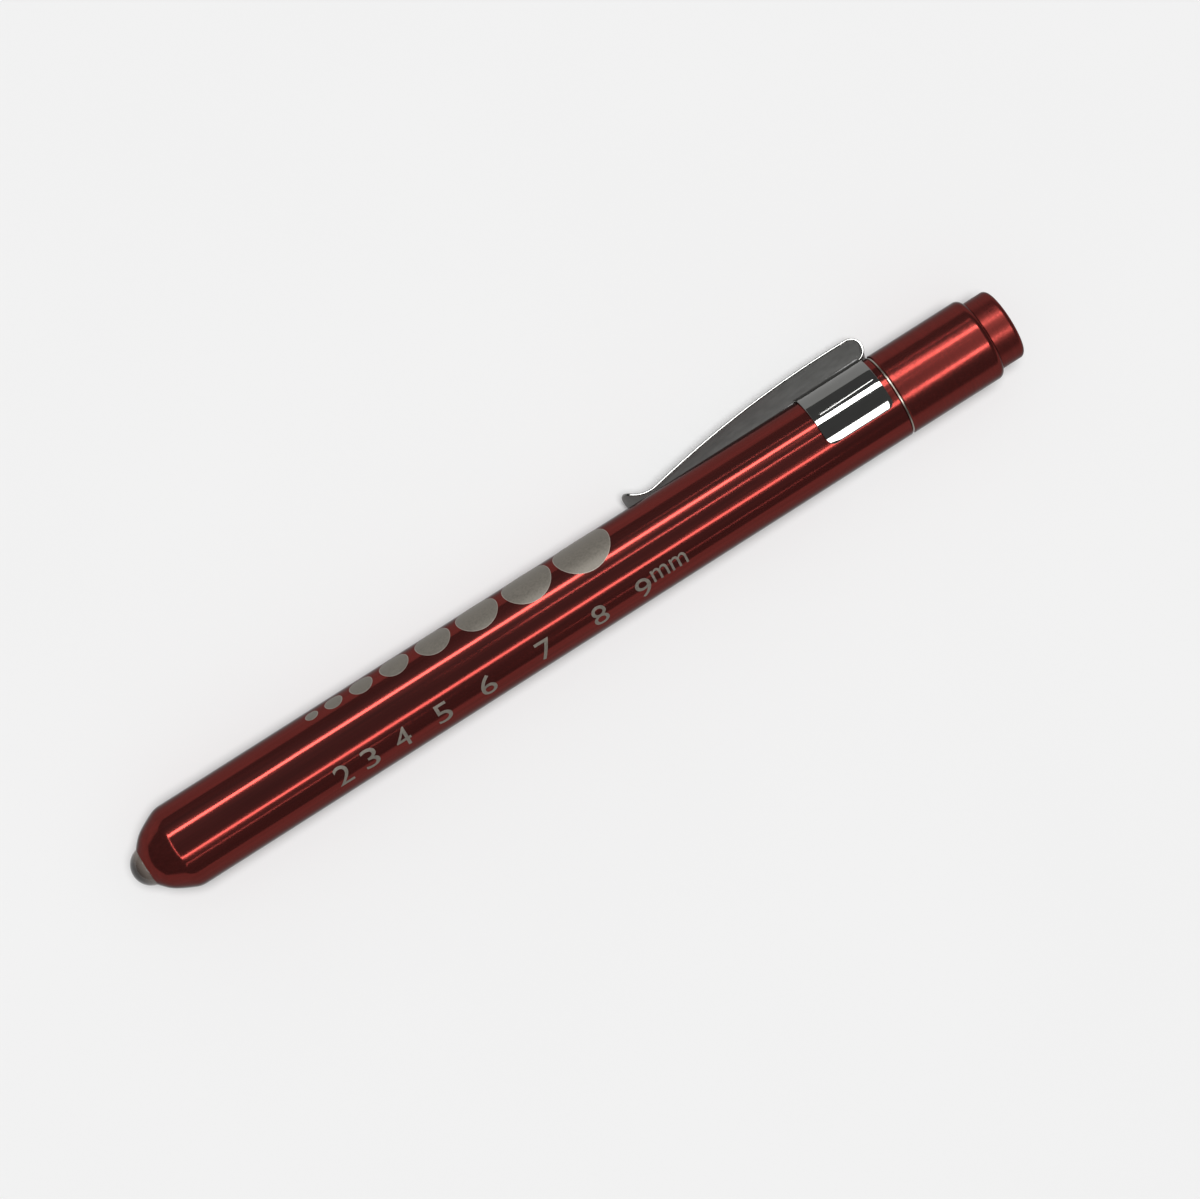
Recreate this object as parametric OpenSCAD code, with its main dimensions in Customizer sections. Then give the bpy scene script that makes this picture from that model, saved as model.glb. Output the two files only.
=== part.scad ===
// Penlight with a pocket clip, two AAA cells and a push button in its tail cap.
// The barrel lies along X, nose towards -X. The origin is on the barrel's axis, at the
// tail cap's front face. It lies on its clip, on the collar and the arm's edge, with Z up.

/* [Cells] */
// Diameter of one cell over its sleeve
cell_d = 10.5; // [9.5:0.1:14.5]
// Length of one cell from base to tip
cell_length = 44.5; // [40:0.1:50.5]
// Diameter of the cell's raised tip
cell_tip_d = 3.8; // [3:0.1:5.5]
// Height of the cell's raised tip
cell_tip_h = 0.9; // [0.6:0.1:1.4]
// Thickness of the cell's printed sleeve
cell_sleeve_t = 0.15; // [0.1:0.05:0.3]
// Width of the seal round the cell's base
cell_seal_w = 0.5; // [0.3:0.1:0.8]
// Depth of the seal and the base plate in the can
cell_seal_h = 1; // [0.6:0.1:1.6]

/* [Barrel] */
// Gap between a cell and the barrel's bore, all round
cell_clear = 0.35; // [0.2:0.05:0.6]
// Wall of the barrel
barrel_wall = 0.9; // [0.7:0.05:1.6]
// Diameter at which the nose cone would meet the nose face
nose_d = 7.4; // [7:0.1:9]
// Length of the nose cone
nose_length = 4.75; // [4:0.05:8]
// Rounding of the nose face's edge
nose_edge_r = 0.65; // [0.2:0.05:0.7]
// Rounding where the nose cone meets the barrel
shoulder_r = 3; // [0.5:0.1:6]
// Thickness of the lip that holds the lens in
nose_lip_t = 1.6; // [1.2:0.1:2.4]
// Depth of the seat behind the lip, before the bore opens out
nose_seat_h = 2.4; // [1.4:0.1:4]
// Bevel on the edges that meet at the joint
joint_bevel = 0.18; // [0.15:0.01:0.3]

/* [Lens and LED] */
// Diameter of the lens where it passes the nose
lens_d = 5.94; // [4:0.01:6.2]
// Height of the lens dome beyond the nose face
lens_dome_h = 2.37; // [1:0.01:2.9]
// Diameter of the flange behind the lens
lens_flange_d = 7.5; // [6.6:0.1:8]
// Thickness of the flange behind the lens
lens_flange_t = 1; // [0.6:0.1:1.6]
// Diameter of the LED's body
led_d = 5; // [3:0.1:5]
// Length of the LED from its base to the tip of its dome
led_length = 8.6; // [5:0.1:10]
// Diameter of the LED's flange
led_flange_d = 5.8; // [5.4:0.1:6.4]
// Thickness of the LED's flange
led_flange_t = 1; // [0.6:0.1:1.4]
// Side of the LED's square leads
lead_w = 0.5; // [0.4:0.05:0.6]
// Spacing of the LED's leads
lead_pitch = 2.54; // [2:0.01:3]
// Length of the LED holder from the lens to the front contact's head
holder_length = 25.55; // [22:0.05:40]
// Depth of the front contact's plug in the LED holder
contact_plug_h = 5; // [3:0.1:7]
// Diameter of the front contact's head
contact_head_d = 8; // [6.6:0.1:10]
// Thickness of the front contact's head
contact_head_t = 0.5; // [0.3:0.1:1]
// Length of the strip that earths the LED to the barrel
strip_length = 8; // [5:0.1:9]
// Width of the earth strip
strip_w = 1.8; // [1.2:0.1:2.4]
// Thickness of the earth strip
strip_t = 0.25; // [0.15:0.05:0.4]

/* [Tail cap] */
// Length of the tail cap
cap_length = 15.8; // [14:0.1:22]
// Rounding of the cap's rear edge
cap_edge_r = 0.8; // [0.2:0.05:0.85]
// Depth of the socket that takes the coupling
cap_socket_h = 5.3; // [4.8:0.1:7]
// Thickness of the wall between the socket and the button's well
cap_web_t = 1.5; // [1:0.1:2.5]
// Width of the bare ring that shows at the joint
ring_w = 0.25; // [0.2:0.05:0.6]
// Depth of the bare ring below the barrel's surface
ring_recess = 0.2; // [0.16:0.02:0.4]
// Length of the coupling's thread
thread_length = 7; // [6.5:0.1:9]
// Bore of the coupling
coupling_bore_d = 8.4; // [7.6:0.1:8.6]
// Length of the coupling's spigot in the cap
spigot_length = 4.6; // [3:0.1:4.7]
// Wall of the coupling's spigot
spigot_wall = 1; // [0.6:0.05:1.2]
// Section diameter of the seal ring
o_ring_section = 0.6; // [0.4:0.05:0.8]
// Distance of the seal ring's groove from the bare ring
o_ring_setback = 0.6; // [0.4:0.1:1.2]

/* [Switch] */
// Diameter of the button
button_d = 11.1; // [9:0.1:11.3]
// Height of the button above the cap
button_height = 4; // [2.5:0.1:6]
// Travel of the button
button_travel = 2; // [1:0.1:2]
// Rounding of the button's edge
button_edge_r = 0.4; // [0.1:0.05:0.8]
// Depth of the button's skirt inside the cap
button_skirt_h = 6; // [4:0.1:6.4]
// Wall of the button's skirt
button_wall = 0.95; // [0.6:0.05:1.2]
// Thickness of the button's end
button_end_t = 1.3; // [0.8:0.1:2]
// Diameter of the plunger
plunger_d = 3; // [2:0.1:3.4]
// Wall of the boss that holds the plunger in the button
plunger_boss_wall = 0.9; // [0.6:0.05:1.2]
// Length of the boss that holds the plunger
plunger_boss_h = 3; // [2:0.1:5]
// Outside diameter of the retaining ring
retaining_d = 5.4; // [4.6:0.1:5.8]
// Thickness of the retaining ring
retaining_t = 0.4; // [0.3:0.05:0.6]
// Depth of the retaining ring's groove in the plunger
retaining_groove = 0.4; // [0.25:0.05:0.5]
// Thickness of the contact plate
plate_t = 0.5; // [0.3:0.1:1]
// Thickness of the bush's web behind the plate
bush_web_t = 1.5; // [1:0.1:1.6]
// Wall of the bush round the plate
bush_rim_t = 0.5; // [0.3:0.05:0.7]
// Length of the battery spring when the cells are in
battery_spring_h = 9.4; // [7:0.1:11]
// Diameter of the battery spring at the cell, at its wire's centre
battery_spring_tip_d = 5; // [4:0.1:6]
// Wire of the battery spring
battery_wire_d = 0.6; // [0.4:0.05:0.8]
// Wire of the button's return spring
return_wire_d = 0.5; // [0.4:0.05:0.6]
// Curls of the battery spring
battery_curls = 5; // [4:1:6]
// Curls of the return spring
return_curls = 7; // [5:1:8]

/* [Pocket clip] */
// Thickness of the clip's sheet
clip_t = 0.35; // [0.25:0.05:0.6]
// Length of the collar along the barrel
collar_length = 11.34; // [8:0.01:16]
// Angle of the collar from the clip's middle to each end
collar_half_angle = 127; // [100:0.5:150]
// Rounding of the collar's corners
collar_corner_r = 0.6; // [0.2:0.1:2]
// Distance of the collar from the barrel's tail face
collar_setback = 0.8; // [0.5:0.1:3]
// Reach of the loop beyond the collar's tail edge
loop_reach = 1.3; // [1:0.05:1.8]
// Height of the arm's crest above the barrel
arm_crest_h = 4; // [3:0.05:6]
// Distance from the loop's centre to the start of the arm's bow
arm_flat_length = 3; // [1:0.1:6]
// Distance from the start of the bow to where the arm meets the barrel
arm_bow_length = 32.4; // [24:0.1:40]
// Half width of the neck at the collar
neck_half_w = 2; // [1.4:0.1:3]
// Half width of the arm at its crest
arm_half_w = 3; // [2.2:0.1:4]
// Half width of the arm at its tip
tip_half_w = 1.9; // [1.2:0.1:2.2]
// Depth of the arm's trough at its crest
arm_sag = 0.45; // [0.2:0.05:0.7]
// Radius of the bend where the arm meets the barrel
toe_r = 5; // [3:0.1:8]
// Angle of the flared tip
flare_angle = 28; // [15:1:40]
// Length of the flat stretch of the flared tip
flare_length = 2; // [2:0.1:4]
// Width of the relief cuts beside the neck
relief_w = 0.4; // [0.2:0.1:0.8]

/* [Hidden] */
// Clearance of pieces that are pushed together and stay
fit_clear = 0.05;
// Clearance of pieces that slide or turn in each other
run_clear = 0.07;
// Gap between faces that meet only in use
meet_gap = 0.1;
// Gap round a piece that passes through without guiding
pass_gap = 0.5;
// Gap between the parts of one cell
skin_gap = 0.02;
// Length by which every cut runs past what it cuts
cut_over = 1;
// Gap from the lens to the LED's tip
led_gap = 0.3;
// Depth of the leads inside the LED
lead_root = 4.5;
// Length of the earth lead before it turns to the strip
earth_lead_h = 4;
// Depth of the long lead in the front contact
lead_plug_h = 2;
// Bevel on the coupling's leading edge
thread_bevel = 0.4;
// Bevel on the cell's shoulder
cell_shoulder = 0.5;
// Rise of the cell's base plate over its seal
cell_base_rise = 0.2;
// Play between the retaining ring and its groove
retaining_play = 0.05;
// Room between the return spring and the button's boss
spring_room = 0.75;
// Length of the clip's neck inside the collar's sheet
neck_root = 0.8;
// Share of the sheet's thickness that the neck has inside the collar
neck_root_share = 0.8;
// Share of the plunger's diameter that is the contact nose at its tip
plunger_nose_share = 0.8;
// Share of the retaining ring's bore that its mouth opens to
retaining_mouth_share = 0.8;
// Steps of a turned piece, of a rounding and of a dome
facets = 96;
round_steps = 8;
dome_steps = 14;
// Rings of one curl and sides of a spring's wire
curl_rings = 8;
wire_sides = 6;
// Steps of the clip's loop, bow, toe and tip, and across its width
loop_steps = 14;
bow_steps = 16;
toe_steps = 8;
tip_steps = 8;
width_steps = 6;
// Angle at which the rounded tip of the clip ends
tip_end_angle = 82;

barrel_bore_d = cell_d + 2 * cell_clear;
barrel_d = barrel_bore_d + 2 * barrel_wall;
barrel_r = barrel_d / 2;
bore_r = barrel_bore_d / 2;
tail_face = -ring_w;

coupling_d = barrel_bore_d - 2 * run_clear;
coupling_front = tail_face - thread_length;
spigot_d = coupling_bore_d + 2 * spigot_wall;
socket_d = spigot_d + 2 * fit_clear;
ring_d = barrel_d - 2 * ring_recess;
groove_back = tail_face - o_ring_setback;
groove_front = groove_back - o_ring_section - 2 * fit_clear;
groove_d = coupling_d - 2 * o_ring_section - 2 * fit_clear;
o_ring_d = groove_d + 2 * fit_clear + o_ring_section;

web_front = cap_socket_h;
web_back = cap_socket_h + cap_web_t;
well_d = button_d + 2 * run_clear;
cap_round = min(cap_edge_r, (barrel_d - well_d) / 2);
button_face = cap_length + button_height;
button_inside = button_face - button_end_t;
button_rim = cap_length - button_skirt_h;
boss_d = plunger_d + 2 * plunger_boss_wall;
boss_rim = button_inside - plunger_boss_h;
plunger_back = button_inside;

bush_d = coupling_bore_d - 2 * fit_clear;
bush_back = web_front - fit_clear;
retaining_back = web_front - meet_gap;
retaining_front = retaining_back - retaining_t;
retaining_room = retaining_front - button_travel - meet_gap;
plate_back = retaining_room - bush_web_t;
plate_front = plate_back - plate_t;
bush_front = plate_front - battery_wire_d;
plate_d = bush_d - 2 * bush_rim_t - 2 * fit_clear;
plunger_tip = plate_back + button_travel + meet_gap;
plunger_nose_d = plunger_d * plunger_nose_share;
plunger_nose_h = retaining_front - plunger_tip - retaining_t;

battery_spring_d = plate_d - battery_wire_d - 2 * meet_gap;
return_spring_d = boss_d + 2 * spring_room + return_wire_d;

rear_cell_base = plate_front - battery_spring_h - meet_gap;
rear_cell_tip = rear_cell_base - cell_length;
front_cell_tip = rear_cell_tip - cell_length;
can_d = cell_d - 2 * cell_sleeve_t - 2 * skin_gap;
seal_d = can_d - 2 * cell_seal_w;
base_d = seal_d - 2 * cell_seal_w;

holder_back = front_cell_tip - contact_head_t;
plug_front = holder_back - contact_plug_h;
lens_back = holder_back - holder_length;
lens_seat = lens_back - lens_flange_t;
nose_face = lens_seat - nose_lip_t;
nose_shoulder = nose_face + nose_length;
lens_r = lens_d / 2;
lens_hole_r = lens_r + fit_clear;
seat_r = lens_flange_d / 2 + fit_clear;
seat_end = lens_seat + nose_seat_h;
bore_start = seat_end + bore_r - seat_r;
dome_r = (pow(lens_r, 2) + pow(lens_dome_h, 2)) / (2 * lens_dome_h);

led_tip = lens_back + led_gap;
led_base = led_tip + led_length;
led_step = led_base - led_flange_t;
led_r = led_d / 2;
lead_place = lead_pitch / 2;
led_bore_d = led_flange_d + 2 * fit_clear;
earth_x = led_base + earth_lead_h;
strip_back = sqrt(pow(bore_r - fit_clear, 2) - pow(strip_w / 2, 2)) - strip_t;

collar_r = barrel_r + fit_clear;
collar_mid_r = collar_r + clip_t / 2;
collar_tail = tail_face - collar_setback;
collar_front = collar_tail - collar_length;
arm_top_r = barrel_r + arm_crest_h - clip_t / 2;
loop_r = (arm_top_r - collar_mid_r) / 2;
loop_x = collar_tail + loop_reach - loop_r - clip_t / 2;
bow_x = loop_x - arm_flat_length;
toe_x = bow_x - arm_bow_length;
toe_mid_r = barrel_r + meet_gap + clip_t / 2;
bow_angle = 2 * atan((arm_top_r - toe_mid_r) / arm_bow_length);
bow_r = arm_bow_length / sin(bow_angle) - toe_r;
neck_curve = -1 / (2 * collar_mid_r);
arm_curve = arm_sag / pow(arm_half_w, 2);

RED = "#8e1518";
SILVER = "#c9cacb";
BRASS = "#c8a24a";
STEEL = "#9aa0a4";

// Points of the arc that rounds a corner between two straight stretches
function rounding(before, corner, after, radius, steps = round_steps) =
    let (
        to_before = (before - corner) / norm(before - corner),
        to_after = (after - corner) / norm(after - corner),
        half = acos(to_before * to_after) / 2,
        middle = to_before + to_after,
        centre = corner + middle / norm(middle) * radius / sin(half),
        from = corner + to_before * radius / tan(half) - centre,
        to = corner + to_after * radius / tan(half) - centre,
        sweep = 180 - 2 * half,
        turn = cross(from, to) < 0 ? -sweep : sweep,
        start = atan2(from.y, from.x)
    )
    [for (i = [0 : steps]) let (a = start + turn * i / steps) centre + radius * [cos(a), sin(a)]];

// Points of a dome from its tip out to so many degrees from its axis
function dome_points(tip, radius, spread) = [
    for (i = [0 : dome_steps])
        let (a = spread * i / dome_steps)
        [radius * sin(a), tip + radius - radius * cos(a)]
];

// Solid turned about X from points given as [radius, x]
module turned(points) {
    rotate([0, 90, 0])
        rotate_extrude($fn = facets)
            polygon(points);
}

// Round bar along X
module bar(d, from, to) {
    translate([from, 0, 0])
        rotate([0, 90, 0])
            cylinder(d = d, h = to - from, $fn = facets);
}

// Round tube along X, from its bore to its outside
module tube(outer, inner, from, to) {
    turned([[inner / 2, from], [outer / 2, from], [outer / 2, to], [inner / 2, to]]);
}

// Rectangular bar along X, centred on Y, from one height to another
module strip(from, to, width, low, high) {
    translate([from, -width / 2, low])
        cube([to - from, width, high - low]);
}

// Faces that close a tube of rings, each of so many points
function tube_sides(rings, count) = [
    for (i = [0 : rings - 2], j = [0 : count - 1])
        let (a = i * count + j, b = i * count + (j + 1) % count)
        each [[a, b + count, b], [a, a + count, b + count]]
];

// Centre of a coil's wire as it climbs along X from one radius to another
function coil_point(turns, from, to, r_from, r_to, part) =
    let (r = r_from + (r_to - r_from) * part, a = 360 * turns * part)
    [from + (to - from) * part, r * cos(a), r * sin(a)];

function coil_line(turns, from, to, r_from, r_to) =
    let (count = turns * curl_rings)
    [for (i = [0 : count]) coil_point(turns, from, to, r_from, r_to, i / count)];

// Least gap between the curls of a coil, from points half a curl or more apart
function coil_gap(line, wire) =
    min([
        for (i = [0 : len(line) - 1 - curl_rings / 2], j = [i + curl_rings / 2 : len(line) - 1])
            norm(line[j] - line[i])
    ]) - wire;

// One unbroken wire round a coil's line, its section square to the line
module coil(line, wire) {
    count = len(line);
    points = [
        for (i = [0 : count - 1])
            let (
                ahead = line[min(i + 1, count - 1)] - line[max(i - 1, 0)],
                out = [0, line[i].y, line[i].z] / norm([line[i].y, line[i].z]),
                side = cross(ahead / norm(ahead), out)
            )
            for (j = [0 : wire_sides - 1])
                let (a = 360 * j / wire_sides)
                line[i] + wire / 2 * (out * cos(a) + side / norm(side) * sin(a))
    ];
    first = [for (j = [1 : wire_sides - 2]) [0, j, j + 1]];
    end = (count - 1) * wire_sides;
    last = [for (j = [1 : wire_sides - 2]) [end, end + j + 1, end + j]];
    polyhedron(points = points, faces = concat(first, last, tube_sides(count, wire_sides)));
}

battery_line = coil_line(
    battery_curls, plate_front - battery_wire_d / 2, plate_front - battery_spring_h + battery_wire_d / 2,
    battery_spring_d / 2, battery_spring_tip_d / 2
);
return_line = coil_line(
    return_curls, web_back + meet_gap + return_wire_d / 2, button_inside - meet_gap - return_wire_d / 2,
    return_spring_d / 2, return_spring_d / 2
);
echo(battery_spring_gap = coil_gap(battery_line, battery_wire_d));
echo(return_spring_gap = coil_gap(return_line, return_wire_d));

// Stations of the clip's strip: [x, radius, direction, half width, curve across, thickness]
function blend(a, b, part) = a + (b - a) * part;

neck_stations = [
    for (x = [loop_x - neck_root, loop_x])
        [x, collar_mid_r, 0, neck_half_w, neck_curve, clip_t * neck_root_share]
];
loop_stations = [
    for (i = [1 : loop_steps])
        let (part = i / loop_steps, a = 180 * part - 90)
        [
            loop_x + loop_r * cos(a), collar_mid_r + loop_r + loop_r * sin(a), a + 90,
            blend(neck_half_w, arm_half_w, part), blend(neck_curve, arm_curve, part),
            clip_t * blend(neck_root_share, 1, min(1, 2 * part))
        ]
];
bow_stations = [
    for (i = [0 : bow_steps])
        let (part = i / bow_steps, a = 90 + bow_angle * part)
        [
            bow_x + bow_r * cos(a), arm_top_r - bow_r + bow_r * sin(a), a + 90,
            blend(arm_half_w, tip_half_w, part), arm_curve, clip_t
        ]
];
toe_stations = [
    for (i = [1 : toe_steps])
        let (a = -90 + blend(bow_angle, -flare_angle, i / toe_steps))
        [
            toe_x + toe_r * cos(a), toe_mid_r + toe_r + toe_r * sin(a), a - 90,
            tip_half_w, arm_curve, clip_t
        ]
];
toe_end = toe_stations[toe_steps - 1];
tip_stations = [
    for (i = [0 : tip_steps])
        let (a = tip_end_angle * i / tip_steps, run = flare_length - tip_half_w + tip_half_w * sin(a))
        [
            toe_end[0] - run * cos(flare_angle), toe_end[1] + run * sin(flare_angle), toe_end[2],
            tip_half_w * cos(a), arm_curve, clip_t
        ]
];
strip_stations = concat(neck_stations, loop_stations, bow_stations, toe_stations, tip_stations);

// One point of the strip, across its width and through its thickness
function strip_point(s, across, through) =
    let (y = s[3] * across, off = s[4] * y * y + s[5] * through / 2)
    [s[0] - sin(s[2]) * off, s[1] + cos(s[2]) * off, y];

strip_points = [
    for (s = strip_stations)
        each concat(
            [for (j = [0 : width_steps]) strip_point(s, 2 * j / width_steps - 1, 1)],
            [for (j = [0 : width_steps]) strip_point(s, 1 - 2 * j / width_steps, -1)]
        )
];

// The penlight rolls until the arm's lowest edge is level with the collar's underside
collar_outer_r = collar_r + clip_t;
roll = min([
    for (p = strip_points)
        let (reach = norm([p.y, p.z]))
        if (reach > collar_outer_r) asin(collar_outer_r / reach) - atan2(abs(p.z), p.y)
]);
echo(clip_below_level_deg = roll);

// Tube with a conical nose, and inside it the lens seat and the cells' bore
module barrel() {
    cone_foot = [nose_d / 2, nose_face];
    cone_head = [barrel_r, nose_shoulder];
    color(RED)
        turned(concat(
            [[lens_hole_r, nose_face]],
            rounding([lens_hole_r, nose_face], cone_foot, cone_head, nose_edge_r),
            rounding(cone_foot, cone_head, [barrel_r, tail_face], shoulder_r),
            [
                [barrel_r, tail_face - joint_bevel],
                [barrel_r - joint_bevel, tail_face],
                [bore_r, tail_face],
                [bore_r, bore_start],
                [seat_r, seat_end],
                [seat_r, lens_seat],
                [lens_hole_r, lens_seat]
            ]
        ));
}

// Dome on a short stem, with a flange that the nose lip holds
module lens() {
    color("#c8d2d6", 0.6)
        turned(concat(
            dome_points(nose_face - lens_dome_h, dome_r, asin(lens_r / dome_r)),
            [
                [lens_r, lens_seat],
                [lens_flange_d / 2, lens_seat],
                [lens_flange_d / 2, lens_back],
                [0, lens_back]
            ]
        ));
}

// Clear LED with a round dome, cut where its leads run in
module led_body() {
    color("#e6ead8", 0.7)
        difference() {
            turned(concat(
                dome_points(led_tip, led_r, 90),
                [
                    [led_r, led_step],
                    [led_flange_d / 2, led_step],
                    [led_flange_d / 2, led_base],
                    [0, led_base]
                ]
            ));
            for (side = [-1, 1])
                translate([0, 0, side * lead_place])
                    strip(led_base - lead_root, led_base + cut_over, lead_w, -lead_w / 2, lead_w / 2);
        }
}

// Long lead to the front contact, and short lead that turns up to the earth strip
module led_leads() {
    color(SILVER) {
        translate([0, 0, -lead_place])
            strip(led_base - lead_root, plug_front + lead_plug_h, lead_w, -lead_w / 2, lead_w / 2);
        translate([0, 0, lead_place])
            strip(led_base - lead_root, earth_x + lead_w / 2, lead_w, -lead_w / 2, lead_w / 2);
        strip(earth_x - lead_w / 2, earth_x + lead_w / 2, lead_w, lead_place, strip_back);
    }
}

// Plug that centres the LED behind the lens and insulates it from the barrel
module led_holder() {
    holder_r = bore_r - fit_clear;
    color("#e8e6df")
        difference() {
            turned([
                [led_r + fit_clear, lens_back],
                [seat_r - fit_clear, lens_back],
                [seat_r - fit_clear, seat_end],
                [holder_r, bore_start],
                [holder_r, holder_back],
                [led_bore_d / 2, holder_back],
                [led_bore_d / 2, led_step],
                [led_r + fit_clear, led_step]
            ]);
            strip(
                earth_x - strip_length / 2 - fit_clear, earth_x + strip_length / 2 + fit_clear,
                strip_w + 2 * fit_clear, strip_back, bore_r + cut_over
            );
            translate([earth_x, 0, 0])
                cylinder(d = 2 * lead_w, h = bore_r, $fn = facets);
        }
}

// Turned stud that plugs the LED holder and meets the front cell's tip
module front_contact() {
    color(BRASS)
        difference() {
            union() {
                bar(led_bore_d - 2 * fit_clear, plug_front, holder_back);
                bar(contact_head_d, holder_back, front_cell_tip);
            }
            translate([0, 0, -lead_place])
                bar(2 * lead_w, plug_front - cut_over, plug_front + lead_plug_h);
        }
}

// Strip in the LED holder's side that bears on the barrel
module ground_strip() {
    color(BRASS)
        strip(
            earth_x - strip_length / 2, earth_x + strip_length / 2,
            strip_w, strip_back, strip_back + strip_t
        );
}

// Steel can with the raised tip at its nose end and a recess for the seal
module cell_can(tip) {
    base = tip + cell_length;
    shoulder = tip + cell_tip_h;
    can_end = base - cell_base_rise;
    color(STEEL)
        turned([
            [0, tip],
            [cell_tip_d / 2, tip],
            [cell_tip_d / 2, shoulder],
            [can_d / 2 - cell_shoulder, shoulder],
            [can_d / 2, shoulder + cell_shoulder],
            [can_d / 2, can_end],
            [seal_d / 2 + skin_gap, can_end],
            [seal_d / 2 + skin_gap, can_end - cell_seal_h],
            [0, can_end - cell_seal_h]
        ]);
}

// Shrunk sleeve round the can, turned in over its base
module cell_sleeve(tip) {
    base = tip + cell_length;
    shoulder = tip + cell_tip_h;
    can_end = base - cell_base_rise + skin_gap;
    inner_r = can_d / 2 + skin_gap;
    color("#3d5a52")
        turned([
            [inner_r, shoulder + cell_shoulder],
            [cell_d / 2, shoulder + cell_shoulder],
            [cell_d / 2, can_end + cell_sleeve_t],
            [seal_d / 2 + cell_seal_w / 2, can_end + cell_sleeve_t],
            [seal_d / 2 + cell_seal_w / 2, can_end],
            [inner_r, can_end]
        ]);
}

// Ring that insulates the base plate from the can
module cell_seal(tip) {
    can_end = tip + cell_length - cell_base_rise;
    color("#d9d6cc")
        tube(seal_d, base_d + 2 * skin_gap, can_end - cell_seal_h + skin_gap, can_end);
}

// Base plate that the next contact presses on
module cell_base(tip) {
    base = tip + cell_length;
    color(SILVER)
        bar(base_d, base - cell_base_rise - cell_seal_h + skin_gap, base);
}

module front_cell_can() { cell_can(front_cell_tip); }
module front_cell_sleeve() { cell_sleeve(front_cell_tip); }
module front_cell_seal() { cell_seal(front_cell_tip); }
module front_cell_base() { cell_base(front_cell_tip); }
module rear_cell_can() { cell_can(rear_cell_tip); }
module rear_cell_sleeve() { cell_sleeve(rear_cell_tip); }
module rear_cell_seal() { cell_seal(rear_cell_tip); }
module rear_cell_base() { cell_base(rear_cell_tip); }

// Sheet collar round the barrel, split on the side away from the arm, with a notch for the neck
module clip_collar() {
    difference() {
        rotate([0, 90, 0])
            rotate_extrude(angle = 2 * collar_half_angle, start = 90 - collar_half_angle, $fn = facets)
                translate([collar_r, collar_front])
                    square([clip_t, collar_length]);
        for (side = [-1, 1], end = [-1, 1])
            translate([end < 0 ? collar_front : collar_tail, 0, 0])
                rotate([side * collar_half_angle, 0, 0])
                    mirror([end < 0 ? 0 : 1, 0, 0])
                        mirror([0, 0, side < 0 ? 1 : 0])
                            corner_cut();
        translate([loop_x - neck_root / 2, collar_mid_r - neck_half_w, -neck_half_w - relief_w])
            cube([collar_length, 2 * neck_half_w, 2 * (neck_half_w + relief_w)]);
    }
}

// What is cut away outside one rounded corner of the collar, run on past both its edges
module corner_cut() {
    arc = rounding([0, -cut_over], [0, 0], [cut_over, 0], collar_corner_r);
    last = len(arc) - 1;
    translate([0, collar_mid_r, 0])
        rotate([90, 0, 0])
            linear_extrude(height = 2 * clip_t + cut_over, center = true)
                polygon(concat(
                    [2 * arc[0] - arc[1]],
                    [for (i = [1 : last - 1]) arc[i]],
                    [2 * arc[last] - arc[last - 1], [-cut_over, cut_over]]
                ));
}

// Strip that loops over from the neck, bows down to the barrel and flares at its tip
module clip_arm() {
    row = width_steps + 1;
    ring = 2 * row;
    end = (len(strip_stations) - 1) * ring;
    first = [
        for (j = [0 : width_steps - 1])
            each [[j, j + 1, ring - 1 - j], [j + 1, ring - 2 - j, ring - 1 - j]]
    ];
    last = [
        for (j = [0 : width_steps - 1])
            each [
                [end + j, end + ring - 1 - j, end + j + 1],
                [end + j + 1, end + ring - 1 - j, end + ring - 2 - j]
            ]
    ];
    polyhedron(
        points = strip_points,
        faces = concat(first, last, tube_sides(len(strip_stations), ring))
    );
}

// One bent piece of spring steel, its arm beside the barrel and just below level
module pocket_clip() {
    color(SILVER)
        rotate([-roll, 0, 0]) {
            clip_collar();
            clip_arm();
        }
}

// Seal in the coupling's groove
module o_ring() {
    color("#1c1c1e")
        rotate([0, 90, 0])
            rotate_extrude($fn = facets)
                translate([o_ring_d / 2, (groove_front + groove_back) / 2])
                    circle(d = o_ring_section, $fn = facets);
}

// Bare metal coupling: thread in the barrel, ring at the joint, spigot in the cap
module thread_coupling() {
    color(SILVER)
        turned([
            [coupling_bore_d / 2, coupling_front],
            [coupling_d / 2 - thread_bevel, coupling_front],
            [coupling_d / 2, coupling_front + thread_bevel],
            [coupling_d / 2, groove_front],
            [groove_d / 2, groove_front],
            [groove_d / 2, groove_back],
            [coupling_d / 2, groove_back],
            [coupling_d / 2, tail_face + fit_clear],
            [ring_d / 2, tail_face + fit_clear],
            [ring_d / 2, 0],
            [spigot_d / 2, 0],
            [spigot_d / 2, spigot_length],
            [coupling_bore_d / 2, spigot_length]
        ]);
}

// Tapered coil between the contact plate and the rear cell
module battery_spring() {
    color(STEEL)
        coil(battery_line, battery_wire_d);
}

// Plate that carries the battery spring and that the plunger touches
module contact_plate() {
    color(BRASS)
        bar(plate_d, plate_front, plate_back);
}

// Cup that insulates the plate, open behind for the plunger and its ring
module insulator_bush() {
    hole_r = plunger_nose_d / 2 + pass_gap;
    room_r = retaining_d / 2 + pass_gap;
    color("#232325")
        turned([
            [plate_d / 2 + fit_clear, bush_front],
            [bush_d / 2, bush_front],
            [bush_d / 2, bush_back],
            [room_r, bush_back],
            [room_r, retaining_room],
            [hole_r, retaining_room],
            [hole_r, plate_back],
            [plate_d / 2 + fit_clear, plate_back]
        ]);
}

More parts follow.
